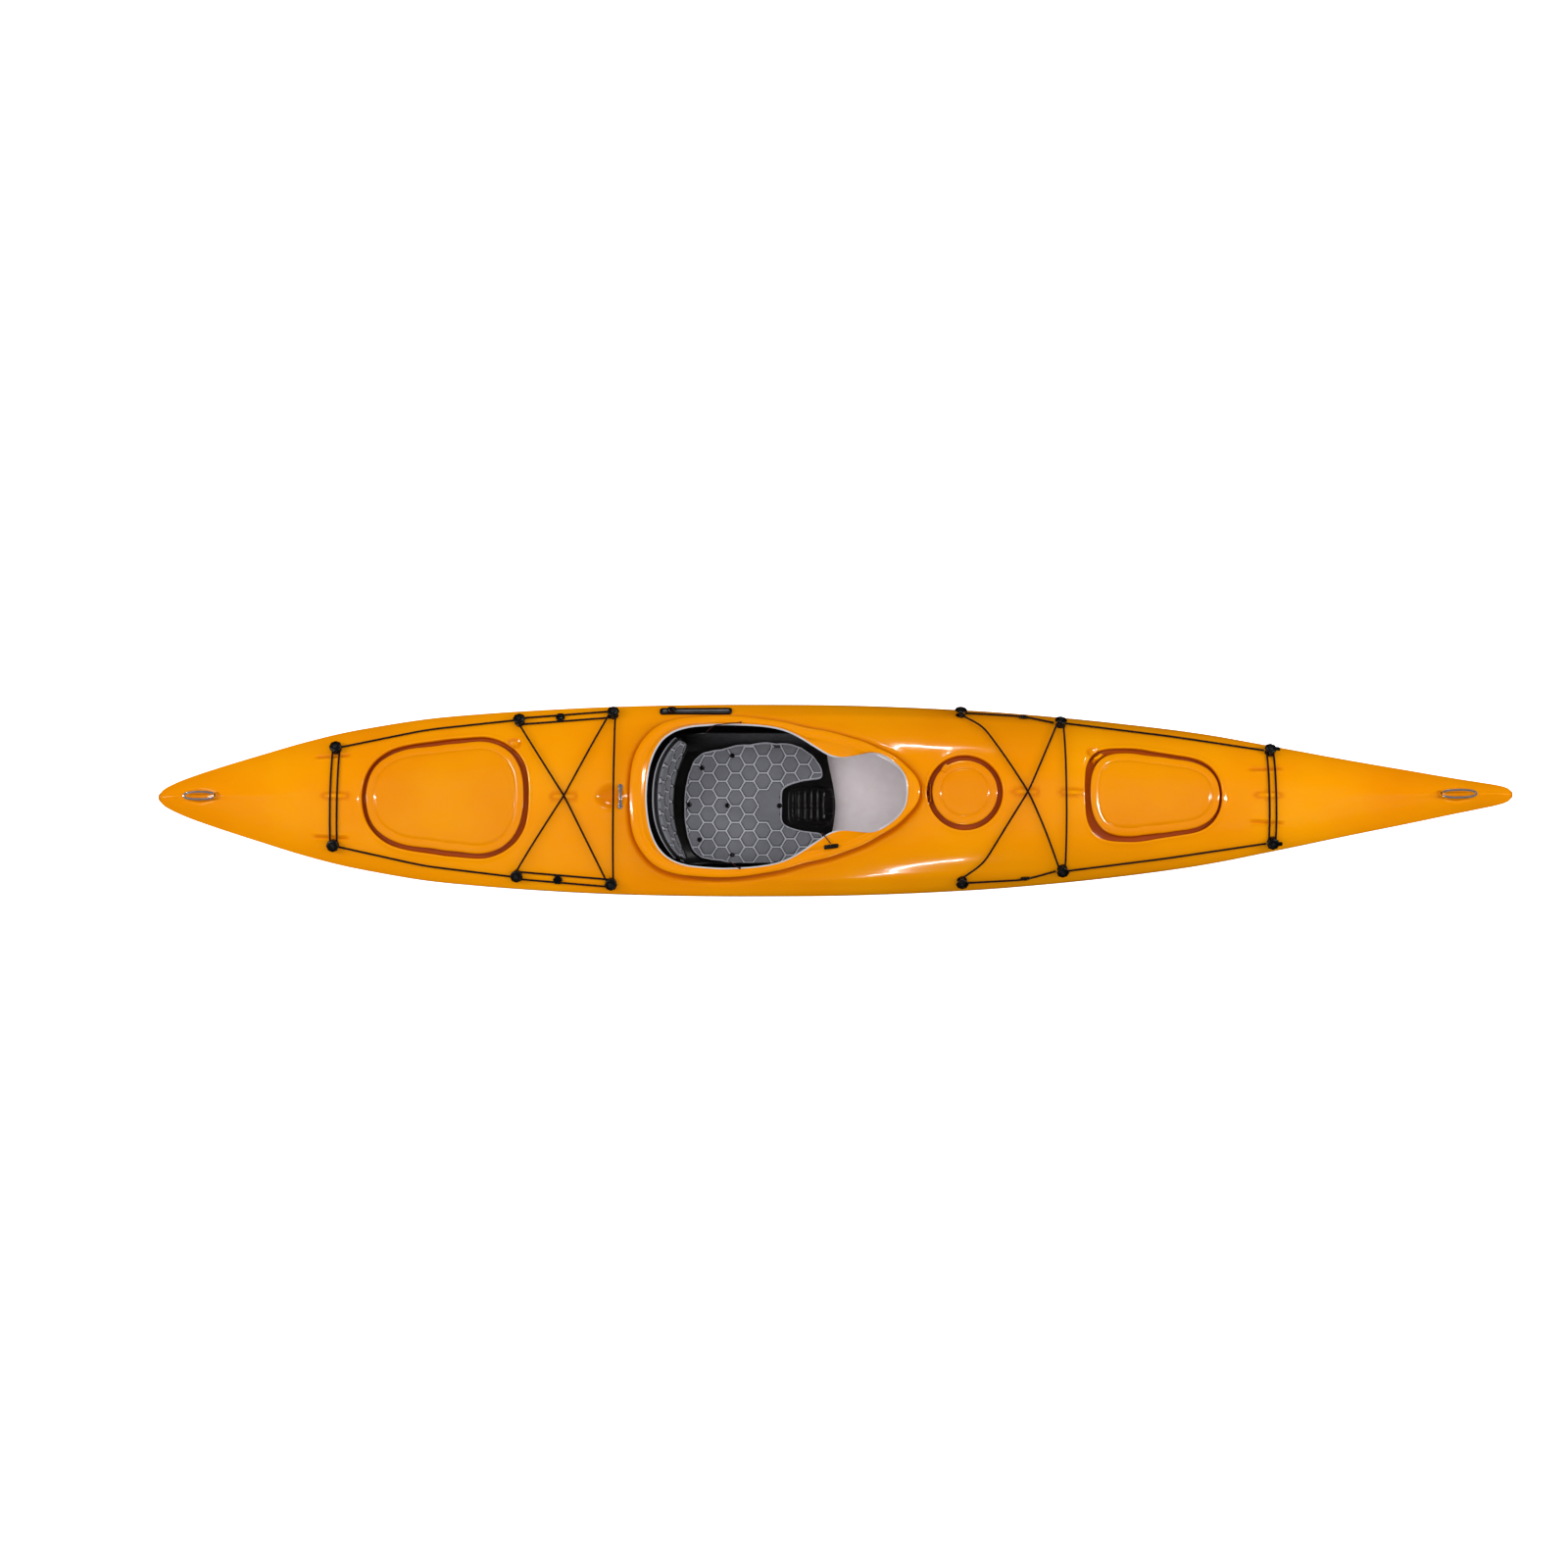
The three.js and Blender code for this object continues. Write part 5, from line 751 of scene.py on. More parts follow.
# studs that hold the pad
for i, (sx, sy) in enumerate([(-322, 160), (-418, 122), (-458, 3), (-337, 1), (-172, 0), (-424, -109), (-320, -160)]):
    z = float(seatZ(sx, sy)[0]) + 12.6; e = 2.0; nx = -(seatZ(sx + e, sy)[0] - seatZ(sx - e, sy)[0]) / (2 * e); ny = -(float(seatZ(sx, abs(sy) + e)[0]) - float(seatZ(sx, abs(sy) - e)[0])) / (2 * e) * (1 if sy >= 0 else -1) if abs(sy) > 5 else 0.0
    p, R = frame_at((sx, sy, z), (nx, ny, 1)); V, Fq = lathe([(3.0, -12.0), (3.0, -0.6), (7.6, -0.2), (8.2, 1.2), (7.6, 3.2), (5.4, 4.8), (2.6, 5.4)], 24)
    st = Bag().add(place(V, p, R), Fq).make("seat_pad_stud_%d" % i, [BLACK_SHINY], smooth_deg=60)

# ------------------------------------------------------------------ backrest
LEAN = math.tan(math.radians(16.0))
def brX(y, z): return -508 - (z - 96) * LEAN + 64 * (np.abs(y) / 196) ** 2.3
def band(y0, y1, zlo, zhi, t_back, t_front, ny, nz, face=None, corner=26.0):
    """padded band on the backrest's curve: front face from face(y,z), rounded edges"""
    ys = np.linspace(y0, y1, ny); w = max(abs(y0), abs(y1)); rows = []
    for y in ys:
        e = (abs(y) / w) ** 5 * corner; lo, hi = zlo + e, zhi - e; edge = (1 - (abs(y) / w) ** 10); zs = np.linspace(lo, hi, nz)
        q = np.minimum(zs - lo, hi - zs); rnd = np.sqrt(np.clip(1 - (1 - np.clip(q / 5.0, 0, 1)) ** 2, 0, 1)) * math.sqrt(max(edge, 0.0))
        mid = (t_back + t_front) / 2; f = t_front + (face(y, zs) if face is not None else 0)
        F_ = brX(y, zs) + mid + (f - mid) * rnd; B_ = brX(y, zs) + mid + (t_back - mid) * rnd
        rows.append(np.vstack([np.stack([F_, np.full(nz, y), zs], 1), np.stack([B_, np.full(nz, y), zs], 1)[::-1]]))
    R = np.stack(rows); n, m = R.shape[:2]; V = R.reshape(-1, 3); Fq = grid_faces(n, m, False, True); Fq.append(tuple(range(m))[::-1]); Fq.append(tuple(range((n-1)*m, n*m))); return V, Fq
def br_face(y, zs):
    C = _brC; P = np.stack([np.full(len(zs), 0.0) + (zs - 176) * 1.0, np.full(len(zs), y)], 1); d, i = hex_dist(P, C, np.zeros(len(C))); return 3.6 * smooth((d - 2.6) / 3.2) - 2.6
_brC = np.array([(CX * 1.02 * k, CY * 0.94 * j + (CY * 0.47 if k % 2 else 0)) for k in range(-3, 4) for j in range(-5, 6)])
V, Fq = band(-182, 182, 120, 238, -0.5, 10.2, 150, 56, br_face)
bp = outward(mesh_object("backrest_foam_cells", V, Fq, [FOAM, FOAM_PALE, FOAM_FOOT_SHADE], None, smooth_deg=60, body="backrest"))
# pale ridges between the cells, painted shade in the low band at their foot
for p in bp.data.polygons:
    c = p.center * 1000
    if c.x > brX(c.y, c.z) + 5:
        d, i = hex_dist(np.array([[c.z - 176, c.y]]), _brC, np.zeros(len(_brC)))
        if d[0] < 2.8: p.material_index = 1
        elif d[0] < 5.0: p.material_index = 2
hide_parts("backrest_pad")
V, Fq = band(-187, 187, 100, 244.5, -9.3, -0.9, 70, 22, None, 24)
bb = outward(mesh_object("backrest_black_back_cloth", V, Fq, [WEB], None, smooth_deg=60, body="backrest"))
V, Fq = band(-178, 178, 100, 124, -1.4, 6.5, 70, 14, None, 8)
bl = outward(mesh_object("backrest_lower_roll", V, Fq, [WEB], None, smooth_deg=60, body="backrest"))
V, Fq = band(-190, 190, 98, 246, -13.6, -9.7, 90, 30, None, 28)
bs = outward(mesh_object("backrest_pale_panel", V, Fq, [FOAM_PALE], None, smooth_deg=60, body="backrest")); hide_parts("backrest_shell")
V, Fq = band(-190, 190, 164, 200, -17.0, -13.9, 90, 12, None, 4)
bt = outward(mesh_object("backrest_webbing", V, Fq, [WEB], None, smooth_deg=60, body="backrest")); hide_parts("backrest_strap")
bag = Bag()
for s in (-1, 1):        # buckles at both ends of the webbing
    bx = brX(190, 182) - 15.5; p, R = frame_at((bx, s * 186, 182), (-0.55, s * 0.83, 0.1), (0, 0, 1)); V, Fq = rbox(0, 0, 0, 44, 24, 7, 3.0); bag.add(place(V, p, R), Fq)
    V, Fq = rbox(0, 0, 4, 30, 6, 4, 1.6); bag.add(place(V, p, R), Fq)
bk = bag.make("backrest_side_buckles", [BLACK_SHINY], smooth_deg=50, body="backrest")
# ------------------------------------------------------------------ cords over the deck
CORD = 3.0; H1 = CORD + 2.3; H2 = CORD + 9.7; PR = 6.4 + CORD + 1.2
def resample(P, step, closed=False):
    P = np.asarray(P, float); Q = np.vstack([P, P[:1]]) if closed else P
    s = np.concatenate([[0], np.cumsum(np.linalg.norm(np.diff(Q, axis=0), axis=1))]); n = max(3, int(round(s[-1] / step))); t = np.linspace(0, s[-1], n + 1)
    R = np.stack([np.interp(t, s, Q[:, k]) for k in range(3)], 1); return R[:-1] if closed else R
def soften(P, k, closed=False):
    if k < 1: return P
    w = np.hanning(2 * k + 3)[1:-1]; w /= w.sum()
    if closed: return sum(wi * np.roll(P, j - k, axis=0) for j, wi in enumerate(w))
    Q = np.vstack([2 * P[0] - P[k:0:-1], P, 2 * P[-1] - P[-2:-k-2:-1]]); return np.stack([np.convolve(Q[:, c], w, "valid") for c in range(3)], 1)
def tube(P, r, closed=False, sides=12, turns=7.0, cap=True, swell=None):
    """woven tube: (verts, faces, uv per loop function)"""
    P = np.asarray(P, float); n = len(P); T = (np.roll(P, -1, 0) - np.roll(P, 1, 0)) if closed else np.gradient(P, axis=0); T /= np.linalg.norm(T, axis=1, keepdims=True)
    u = np.cross(T[0], [0, 0, 1.0]); u = u / np.linalg.norm(u) if np.linalg.norm(u) > 1e-6 else np.array([1.0, 0, 0]); V = []
    s = np.concatenate([[0], np.cumsum(np.linalg.norm(np.diff(P, axis=0), axis=1))]); us = []
    for i in range(n):
        u = u - T[i] * u.dot(T[i]); u /= np.linalg.norm(u); us.append(u.copy())
    if closed:    # spread the leftover twist round the loop
        e = us[0] - T[-1] * us[0].dot(T[-1]); e /= np.linalg.norm(e); ang = math.atan2(np.cross(us[-1], e).dot(T[-1]), us[-1].dot(e))
    else: ang = 0.0
    for i in range(n):
        a0 = ang * i / max(1, n - 1); v = np.cross(T[i], us[i]); rr = r * (swell(s[i] / s[-1]) if swell else 1)
        for k in range(sides):
            a = a0 + 2 * math.pi * k / sides; V.append(P[i] + rr * (us[i] * math.cos(a) + v * math.sin(a)))
    F = []; UV = []
    for i in range(n if closed else n - 1):
        j = (i + 1) % n; s1 = s[i] / turns; s2 = (s[i + 1] if i + 1 < n else s[-1] + np.linalg.norm(P[0] - P[-1])) / turns
        for k in range(sides):
            F.append((i*sides + k, i*sides + (k+1) % sides, j*sides + (k+1) % sides, j*sides + k)); UV.append([(k / sides, s1), ((k+1) / sides, s1), ((k+1) / sides, s2), (k / sides, s2)])
    if cap and not closed:
        for i, rev in ((0, True), (n - 1, False)):
            c = tuple(i*sides + k for k in range(sides)); F.append(c[::-1] if rev else c); UV.append([(0.1, 0.1)] * sides)
    return np.array(V), F, UV
def cord_object(name, parts, mat, body="kayak"):
    V, F, UV = [], [], []; n = 0
    for v, f, uv in parts: V.append(v); F += [tuple(i + n for i in q) for q in f]; UV += uv; n += len(v)
    V = np.vstack(V); me = bpy.data.meshes.new(name); me.from_pydata([tuple(p * MM) for p in V], [], F); me.materials.append(mat)
    lay = me.uv_layers.new(name="UVMap"); k = 0
    for uv in UV:
        for q in uv: lay.data[k].uv = q; k += 1
    for p in me.polygons: p.use_smooth = True
    ob = bpy.data.objects.new(name, me); bpy.context.scene.collection.objects.link(ob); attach(ob, body); return ob
def surf(line, h, step=9.0, closed=False, k=2):
    line = np.asarray(line, float); L3 = np.concatenate([line, np.zeros((len(line), 1))], 1); Q = soften(resample(L3, step, closed), k, closed)[:, :2]
    n = deckN(Q[:, 0], Q[:, 1]); hh = h(Q) if callable(h) else h; hh = np.broadcast_to(np.asarray(hh, float), (len(Q),))
    return np.stack([Q[:, 0] + n[:, 0] * hh, Q[:, 1] + n[:, 1] * hh, deckZ(Q[:, 0], Q[:, 1]) + n[:, 2] * hh], 1)
def stadium(a, b, wide):
    a, b = np.array(a, float), np.array(b, float); d = (b - a) / np.linalg.norm(b - a); v = np.array([-d[1], d[0]]); line = []
    for c, s in ((b, 1), (a, -1)):
        for q in np.linspace(-88, 88, 9):
            t = math.radians(s * q); line.append(c + wide * (s * d * math.cos(t) + v * math.sin(t)))
    return np.array(line)
FIT = {"stern": (-1550, 149.5), "rear_a": (-983, 241), "rear_b": (-690, 265), "front_a": (398, 259), "front_b": (708, 225), "bow": (1360, 139.5)}
def fit_at(k, s): return (FIT[k][0], s * FIT[k][1])
def spans(P, sag=0.0): return P
def loop_piece(name, node, a, b, wide, h):
    P = surf(stadium(a, b, wide), h, 8, True, 1); ob = cord_object(name, [tube(P, CORD, True)], ROPE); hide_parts(node); return P
loop_piece("stern_end_cord", "stern_end_bungee", fit_at("stern", -1), fit_at("stern", 1), PR, H1)
loop_piece("bow_end_cord", "bow_end_bungee", fit_at("bow", -1), fit_at("bow", 1), PR, H1)
joiners = []
for s, n in ((1, "port"), (-1, "stbd")):
    P = loop_piece("rear_side_cord_" + n, "rear_side_bungee_" + n, fit_at("rear_a", s), fit_at("rear_b", s), PR, H1)
    line = [(398 + PR + 3, s * 264), (592, s * 254), (700 - PR - 2, s * 230)]; Q = surf(line, H1, 8, False, 6); ob = cord_object("front_side_cord_" + n, [tube(Q, CORD)], ROPE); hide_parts("front_side_bungee_" + n)
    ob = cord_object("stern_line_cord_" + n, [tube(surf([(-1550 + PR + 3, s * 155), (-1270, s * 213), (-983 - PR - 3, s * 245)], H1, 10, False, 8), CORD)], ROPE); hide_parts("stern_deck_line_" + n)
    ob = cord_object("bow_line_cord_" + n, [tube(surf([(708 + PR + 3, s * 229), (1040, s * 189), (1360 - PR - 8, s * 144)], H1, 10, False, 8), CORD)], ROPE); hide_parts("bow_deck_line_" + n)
def cross_line(a, b, mid, via):
    (ax, ay), (bx, by) = a, b; line = [(ax - 2, ay - PR)] + list(via) + [mid]
    arc = lambda cx, cy, q0, q1: [(cx + PR * math.cos(math.radians(q)), cy + PR * math.sin(math.radians(q))) for q in np.linspace(q0, q1, 9)]
    line += arc(bx, -by, -120, 50); line += arc(bx, by, -50, 120); line += [(mid[0], 0.01)] + [(x, -y) for x, y in reversed(via)] + [(ax - 2, -ay + PR)]; return line
for name, node, a, b, mid, via in (("rear_cross_cord", "rear_cross_bungee", fit_at("rear_a", 1), fit_at("rear_b", 1), (-836, 0), []), ("front_cross_cord", "front_cross_bungee", fit_at("front_a", 1), fit_at("front_b", 1), (598, 0), [(462, 208)])):
    P = surf(cross_line(a, b, mid, via), H2, 9, False, 2 if not via else 5); n = len(P); i = np.arange(n); d = np.hypot(P[:, 0] - mid[0], P[:, 1] - mid[1]); P[:, 2] += np.where(i > n / 2, 1, -1) * 4 * smooth(1 - d / 120)
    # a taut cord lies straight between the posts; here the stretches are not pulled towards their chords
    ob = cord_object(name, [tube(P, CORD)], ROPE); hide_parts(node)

# small clips that join the side cords
for s, n in ((1, "port"), (-1, "stbd")):
    for k, (x, y) in {"rear": (-856, 254), "front": (594, 250)}.items():
        nn = deckN(np.array([x]), np.array([s * y]))[0]; p, R = frame_at(np.array([x, s * y, float(deckZ(x, s * y))]) + nn * H1, nn); bag = Bag()
        V, Fq = rbox(0, 0, 0.6, 20, 11 if k == "front" else 27, 9.5, 2.6); bag.add(place(V, p, R), Fq)
        V, Fq = rbox(0, 0, 5.6, 12, 7 if k == "front" else 18, 2.4, 1.2); bag.add(place(V, p, R), Fq)
        for e in (-1, 1): V, Fq = rbox(e * 11.5, 0, 0, 6, 8.6, 8, 2); bag.add(place(V, p, R), Fq)
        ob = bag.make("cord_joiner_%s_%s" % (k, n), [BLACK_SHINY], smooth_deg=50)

# ------------------------------------------------------------------ deck fittings
def fitting_mesh(x, y, lobe):
    nn = deckN(np.array([x]), np.array([y]))[0]; p, R = frame_at((x, y, float(deckZ(x, y))), nn); bag = Bag()
    V, Fq = lathe([(15.6, -3.0), (16.0, 0.4), (15.2, 1.6), (12.5, 2.3), (7.2, 3.0), (6.3, 4.6), (6.2, 14.6), (7.4, 16.4), (12.5, 17.0), (17.2, 17.6), (18.7, 18.6), (19.0, 20.0), (18.3, 21.8), (16.4, 23.4), (13.0, 24.5), (9.0, 25.0), (7.2, 25.1), (6.6, 24.6), (6.4, 22.4), (2.9, 22.2), (2.6, 20.2)], 48, lambda a, r, z: 0.035 * math.cos(8 * a) * (1 if r > 13 and z > 16 else 0)); bag.add(place(V, p, R), Fq)
    for s in (-1, 1):                         # shoulders that the cord runs under
        V, Fq = rbox(0, s * 15.4, 9.6, 12, 6.5, 17.5, 2.2, 0.9); bag.add(place(V, p, R), Fq)
    if lobe:
        V, Fq = rbox(20 * lobe, 0, 20, 18, 13, 6.2, 3.0); bag.add(place(V, p, R), Fq)
    return bag
for k, (fx, fy) in FIT.items():
    for s, n in ((1, "port"), (-1, "stbd")):
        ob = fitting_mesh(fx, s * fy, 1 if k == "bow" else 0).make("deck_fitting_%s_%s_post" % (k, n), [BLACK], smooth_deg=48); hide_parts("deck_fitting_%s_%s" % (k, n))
        nn = deckN(np.array([fx]), np.array([s * fy]))[0]; p, R = frame_at((fx, s * fy, float(deckZ(fx, s * fy))), nn)
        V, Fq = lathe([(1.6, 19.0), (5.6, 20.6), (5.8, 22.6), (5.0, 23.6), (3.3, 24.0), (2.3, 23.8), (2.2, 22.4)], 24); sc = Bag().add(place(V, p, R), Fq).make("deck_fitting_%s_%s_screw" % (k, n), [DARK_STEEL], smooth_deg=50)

# ------------------------------------------------------------------ rings, saddles, security bar
def ring_path(x, a, b, r, n=96):
    t = (np.arange(n) + 0.5) / n * 2 * np.pi; c, s = np.cos(t), np.sin(t); X = x + (a - r) * np.sign(c) * np.abs(c) ** 0.8; Y = (b - r) * np.sign(s) * np.abs(s) ** 0.9
    return soften(np.stack([X, Y, deckZ(X, 0 * X) + r + 3.4], 1), 2, True)
for node, x, a in (("stern_handle_ring", -1966, 52), ("bow_handle_ring", 1931, 56)):
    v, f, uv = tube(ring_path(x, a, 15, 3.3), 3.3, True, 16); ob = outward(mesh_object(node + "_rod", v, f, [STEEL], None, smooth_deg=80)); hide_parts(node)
for node, x in (("stern_ring_saddle", -1916), ("bow_ring_saddle", 1877)):
    z = float(deckZ(x, 0)); nn = deckN(np.array([x]), np.array([0.0]))[0]; p, R = frame_at((x, 0, z), nn); bag = Bag()
    V, Fq = rbox(0, 0, 1.2, 22, 24, 5.4, 5, 0.86); bag.add(place(V, p, R), Fq)
    V, Fq = rbox(0, 0, 9.4, 13, 20, 11.6, 4.5, 0.82); bag.add(place(V, p, R), Fq)
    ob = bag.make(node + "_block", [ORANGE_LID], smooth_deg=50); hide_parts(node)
bag = Bag(); zb = float(deckZ(SEC_X, 0))
n_ = 40; rows = []
for i in range(n_ + 1):
    y = -40 + 80 * i / n_; e = min(1.0, (40 - abs(y)) / 6.0); w = 5.5 * math.sqrt(max(0.03, 1 - (1 - e) ** 2)); up = 1.4 * float(smooth((22 - abs(y)) / 12)); waist = 1 - 0.22 * float(smooth((24 - abs(y)) / 16)); w *= waist
    rows.append([[SEC_X + px * w, y, zb + up + pz] for px, pz in ((-1, -1.6), (-1, 0.9), (-0.82, 1.5), (-0.4, 1.75), (0.4, 1.75), (0.82, 1.5), (1, 0.9), (1, -1.6), (0.7, -2.2), (-0.7, -2.2))])
R_ = np.array(rows); m_ = R_.shape[1]; Fq = grid_faces(n_ + 1, m_, False, True); Fq += [tuple(range(m_))[::-1], tuple(range(n_ * m_, (n_ + 1) * m_))]; bag.add(R_.reshape(-1, 3), Fq)
for s in (-1, 1):
    z = float(deckZ(SEC_X, 31)) - 1; V, Fq = lathe([(4.6, -3.5), (8.6, -1.8), (9.1, 0.2), (8.6, 2.0), (7.0, 3.9), (4.6, 5.1), (3.4, 5.4), (3.1, 4.9), (2.9, 3.2)], 36); bag.add(V + [SEC_X, s * 31, z], Fq)
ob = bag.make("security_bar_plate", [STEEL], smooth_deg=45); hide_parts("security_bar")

# ------------------------------------------------------------------ skeg slider
slp = np.array([-431.5, 276.0, 195.87]); slx = np.array([0.99957, 0, 0.02923]); sln = np.array([-0.0241, 0.5159, 0.8563]); _, SR = frame_at(slp, sln, slx)
SLP = slp.copy(); SLP[2] = float(deckZ(-431.5, 276))
bag = Bag()
def cap_frame(w, d, wi, di, z0, z1, e=1.0, seg=8):
    def ring(ww, dd, z):
        rr = dd / 2 * 0.72; P = []
        for sx, sy, a0 in ((1, 1, 0), (-1, 1, 90), (-1, -1, 180), (1, -1, 270)):
            for q in range(seg + 1): a = math.radians(a0 + 90 * q / seg); P.append((sx * (ww / 2 - rr) + rr * math.cos(a), sy * (dd / 2 - rr) + rr * math.sin(a), z))
        return P
    rows = [ring(w, d, z0), ring(w, d, z1 - e), ring(w - e, d - e, z1 - 0.25), ring(w - 2.4 * e, d - 2.4 * e, z1), ring(wi + 1.2, di + 1.2, z1), ring(wi, di, z1 - 0.8), ring(wi, di, z0)]; n = len(rows[0]); V = [p for r in rows for p in r]; F = []
    for i in range(7):
        for k in range(n): j = (i + 1) % 7; F.append((i*n + k, i*n + (k+1) % n, j*n + (k+1) % n, j*n + k))
    return np.array(V), F
V, Fq = cap_frame(227, 24, 211, 11.5, -1.6, 6.0); bag.add(place(V, SLP, SR), Fq)
V, Fq = rbox(0, 0, 0.5, 216, 16, 1.6, 3); bag.add(place(V, SLP, SR), Fq)
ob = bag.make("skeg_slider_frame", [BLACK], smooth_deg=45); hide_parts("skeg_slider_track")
bag = Bag()
for e in (-1, 1):
    V, Fq = rbox(0, e * 4.2, 2.2, 209, 2.4, 3.4, 0.7); bag.add(place(V, SLP, SR), Fq)
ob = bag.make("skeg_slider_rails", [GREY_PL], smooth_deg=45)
bag = Bag(); kx = -75.5
V, Fq = rbox(kx, 0, 5.0, 22, 5.0, 8.0, 1.4); bag.add(place(V, SLP, SR), Fq)
V, Fq = rbox(kx, 0, 10.8, 31, 20.5, 6.4, 7.0, 0.94, 6); bag.add(place(V, SLP, SR), Fq)
V, Fq = rbox(kx, 0, 15.6, 22, 15, 5.2, 5.5, 0.86, 6); bag.add(place(V, SLP, SR), Fq)
for e in (-6.6, -2.2, 2.2, 6.6):
    V, Fq = rbox(kx + e, 0, 18.3, 1.7, 11.5, 1.5, 0.6); bag.add(place(V, SLP, SR), Fq)
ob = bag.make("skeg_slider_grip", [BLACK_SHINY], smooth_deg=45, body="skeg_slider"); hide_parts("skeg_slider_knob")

# ------------------------------------------------------------------ loose ends in the cockpit
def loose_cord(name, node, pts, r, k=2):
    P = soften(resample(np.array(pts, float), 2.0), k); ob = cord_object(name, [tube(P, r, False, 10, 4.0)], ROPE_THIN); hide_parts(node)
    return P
tg = Bag(); V, Fq = rbox(0, 0, 0, 44, 13.5, 7.4, 2.6, 0.9); tg.add(V, Fq)
for e in (-14, -7, 0, 7): V, Fq = rbox(e, 0, 4.0, 2.2, 10.5, 1.6, 0.7); tg.add(V, Fq)
V, Fq = rbox(20.5, 0, 0, 7, 9, 5.6, 2.2); tg.add(V, Fq)
VV = np.vstack(tg.V); c, s = math.cos(0.12), math.sin(0.12); VV = VV @ np.array([[c, s, 0], [-s, c, 0], [0, 0, 1]]); c, s = math.cos(-0.13), math.sin(-0.13); VV = VV @ np.array([[c, 0, -s], [0, 1, 0], [s, 0, c]])
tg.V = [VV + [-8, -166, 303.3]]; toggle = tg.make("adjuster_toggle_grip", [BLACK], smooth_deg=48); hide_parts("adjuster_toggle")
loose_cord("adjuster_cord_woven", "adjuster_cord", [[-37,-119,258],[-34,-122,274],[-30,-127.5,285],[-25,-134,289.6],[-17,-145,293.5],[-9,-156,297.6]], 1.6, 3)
def knot_mesh(c, r):
    t = np.arange(60) / 60 * 2 * np.pi; P = np.stack([(np.sin(t) + 2 * np.sin(2 * t)) * r * 0.20, (np.cos(t) - 2 * np.cos(2 * t)) * r * 0.20, -np.sin(3 * t) * r * 0.42], 1) + np.array(c); return tube(P, r * 0.42, True, 8, 4.0)
for n, pts, s in (("port", [[-396,207,228],[-388,211,243],[-379,217,252.5],[-368,222.5,256],[-335,226,257],[-300,229,258.4],[-290,230,259.2]], 1), ("stbd", [[-324,-203,234],[-318,-207,248],[-310,-213,254.5],[-301,-222,257.4],[-290,-228,258.8]], -1)):
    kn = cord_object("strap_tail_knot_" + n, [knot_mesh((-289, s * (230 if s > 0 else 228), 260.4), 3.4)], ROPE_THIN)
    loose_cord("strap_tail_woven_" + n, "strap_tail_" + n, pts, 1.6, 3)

# ------------------------------------------------------------------ seals, bulkheads, footrests and skeg keep their solids, with their own finishes
def finish_node(mat, *names):
    for n in names:
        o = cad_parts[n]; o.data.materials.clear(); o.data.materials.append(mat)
        for p in o.data.polygons: p.material_index = 0
finish_node(RUBBER, "rear_hatch_seal", "front_hatch_seal", "day_hatch_seal")
finish_node(INNER, "rear_bulkhead", "front_bulkhead", "skeg_box")
finish_node(BLACK, "day_pod", "footrest_pedal_port", "footrest_pedal_stbd", "skeg_blade")
finish_node(ALU, "footrest_rail_port", "footrest_rail_stbd"); finish_node(STEEL, "skeg_pivot_pin")
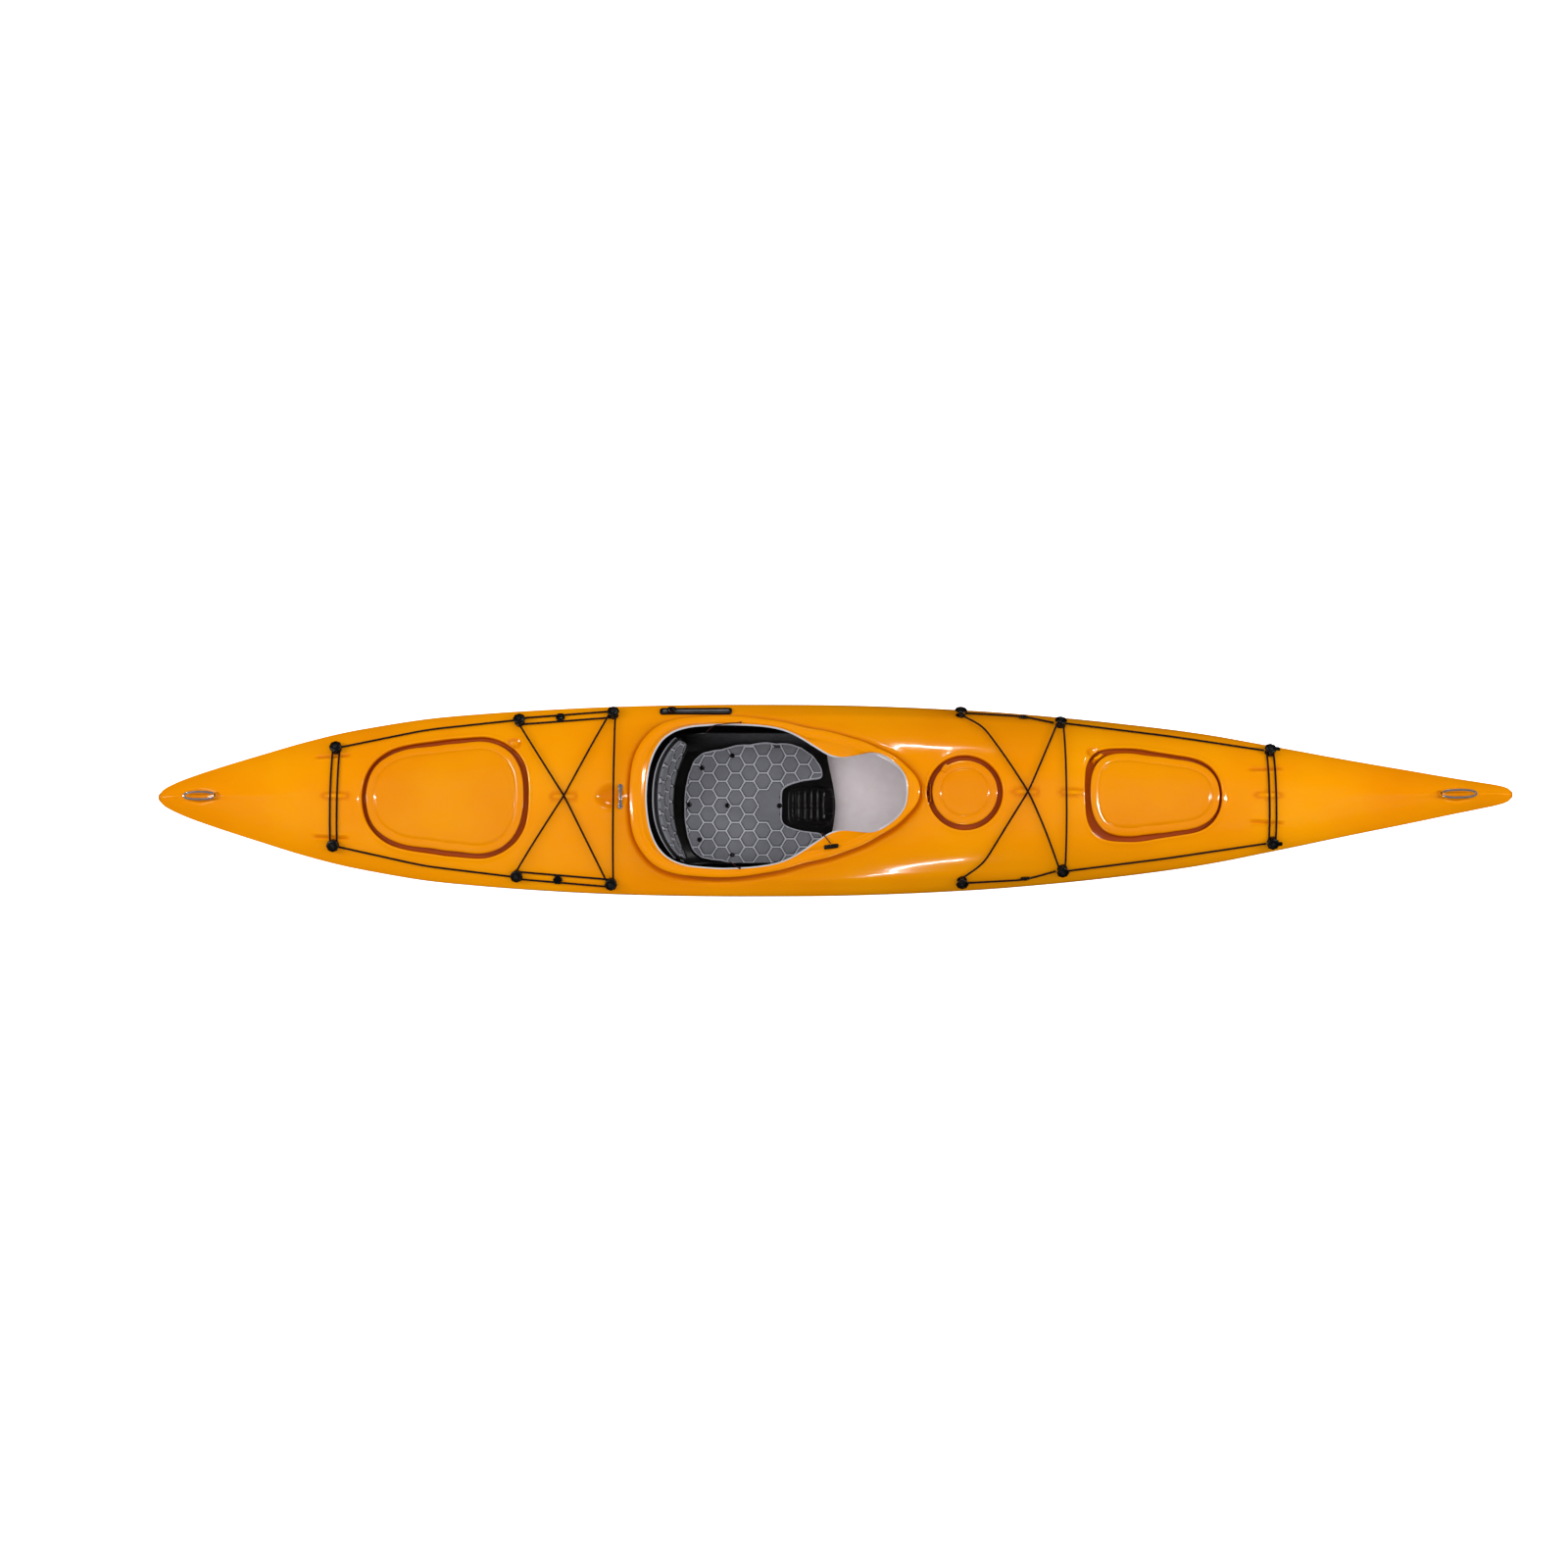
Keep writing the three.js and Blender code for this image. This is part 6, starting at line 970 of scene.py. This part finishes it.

# pull tab of the round hatch (the finger recesses by the oval ones are part of the deck's shape above)
p, R = frame_at((345, 74, float(deckZ(345, 74)) + 1.2), deckN(np.array([345.0]), np.array([74.0]))[0], (0.6, 0.8, 0)); bag = Bag()
V, Fq = rbox(0, 0, 0, 26, 19, 5.0, 4.0, 0.94, 5); bag.add(place(V, p, R), Fq)
V, Fq = rbox(-4, 0, 3.0, 3.4, 14, 1.8, 0.9); bag.add(place(V, p, R), Fq)
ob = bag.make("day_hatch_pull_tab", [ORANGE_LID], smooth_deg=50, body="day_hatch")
# ------------------------------------------------------------------ camera, light and floor
def setup_stage():
    T = math.radians(9.0); dist = 8.5; tgt = Vector((0, 0, 0.175))
    fwd = Vector((0, math.sin(T), -math.cos(T))); up = Vector((0, math.cos(T), math.sin(T)))
    cam = bpy.data.cameras.new("cam"); co = bpy.data.objects.new("cam", cam); bpy.context.scene.collection.objects.link(co)
    right = fwd.cross(up); M = Matrix((right, up, -fwd)).transposed().to_4x4(); M.translation = tgt - fwd * dist; co.matrix_world = M
    cam.sensor_width = 36; cam.lens = 36 * 2771.0 / 1600; cam.shift_x = (800 - 850.5) / 1600; cam.shift_y = (816 - 800) / 1600; cam.clip_end = 100
    bpy.context.scene.camera = co
    w = bpy.data.worlds.new("w"); bpy.context.scene.world = w; w.use_nodes = True; bg = w.node_tree.nodes["Background"]; bg.inputs[0].default_value = (1, 1, 1, 1); bg.inputs[1].default_value = 0.30; w.cycles_visibility.glossy = False
    wt = w.node_tree; lp = wt.nodes.new("ShaderNodeLightPath"); b2 = wt.nodes.new("ShaderNodeBackground"); b2.inputs[0].default_value = (1, 1, 1, 1); b2.inputs[1].default_value = 1.0
    ms = wt.nodes.new("ShaderNodeMixShader"); wt.links.new(lp.outputs["Is Camera Ray"], ms.inputs[0]); wt.links.new(bg.outputs[0], ms.inputs[1]); wt.links.new(b2.outputs[0], ms.inputs[2]); wt.links.new(ms.outputs[0], wt.nodes["World Output"].inputs[0])
    def area(name, loc, look, sx, sy, power, glossy=True):
        l = bpy.data.lights.new(name, "AREA"); l.shape = "RECTANGLE"; l.size = sx; l.size_y = sy; l.energy = power
        o = bpy.data.objects.new(name, l); o.location = loc; o.rotation_euler = (Vector(look) - Vector(loc)).to_track_quat("-Z", "Y").to_euler(); bpy.context.scene.collection.objects.link(o); o.visible_glossy = glossy; return o
    area("key_top", (0.0, -0.5, 4.4), (0, 0, 0.1), 8.0, 4.2, 156, False)
    area("fill_low", (0.0, 0.0, -3.2), (0, 0, 0.1), 7.5, 4.0, 75, False)
    area("strip_port", (0.25, 3.3, 2.7), (0.1, 0.1, 0.2), 0.9, 0.05, 16)
    area("strip_stbd", (0.35, -3.9, 2.0), (0.1, -0.1, 0.2), 0.7, 0.04, 8)
    area("strip_bow", (4.4, 0.5, 2.9), (1.0, 0, 0.2), 0.06, 2.6, 62)
    area("strip_stern", (-4.4, 0.5, 2.9), (-1.0, 0, 0.2), 0.06, 2.6, 62)
    me = bpy.data.meshes.new("floor"); s = 14.0
    me.from_pydata([(-s, -s, -0.0015), (s, -s, -0.0015), (s, s, -0.0015), (-s, s, -0.0015)], [], [(0, 1, 2, 3)]); fl = bpy.data.objects.new("floor", me); bpy.context.scene.collection.objects.link(fl)
    m, nt, p = nodes_of("studio_floor"); nt.links.new(ramp(nt, noise(nt, 1.5, 3, 0.5), [(0.2, (0.93, 0.93, 0.93, 1)), (0.8, (0.95, 0.95, 0.95, 1))]), p.inputs["Base Color"]); p.inputs["Roughness"].default_value = 0.95; p.inputs["Specular IOR Level"].default_value = 0.1
    p.inputs["Emission Color"].default_value = (1, 1, 1, 1); p.inputs["Emission Strength"].default_value = 1.0
    ge = nt.nodes.new("ShaderNodeNewGeometry"); tr = nt.nodes.new("ShaderNodeBsdfTransparent"); fx = nt.nodes.new("ShaderNodeMixShader")
    nt.links.new(ge.outputs["Backfacing"], fx.inputs[0]); nt.links.new(p.outputs[0], fx.inputs[1]); nt.links.new(tr.outputs[0], fx.inputs[2]); nt.links.new(fx.outputs[0], nt.nodes["Material Output"].inputs[0])
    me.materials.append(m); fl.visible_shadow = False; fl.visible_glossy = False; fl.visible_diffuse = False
    vs = bpy.context.scene.view_settings; vs.view_transform = "Standard"; vs.look = "None"; vs.exposure = 0.0; vs.gamma = 1.0
setup_stage()
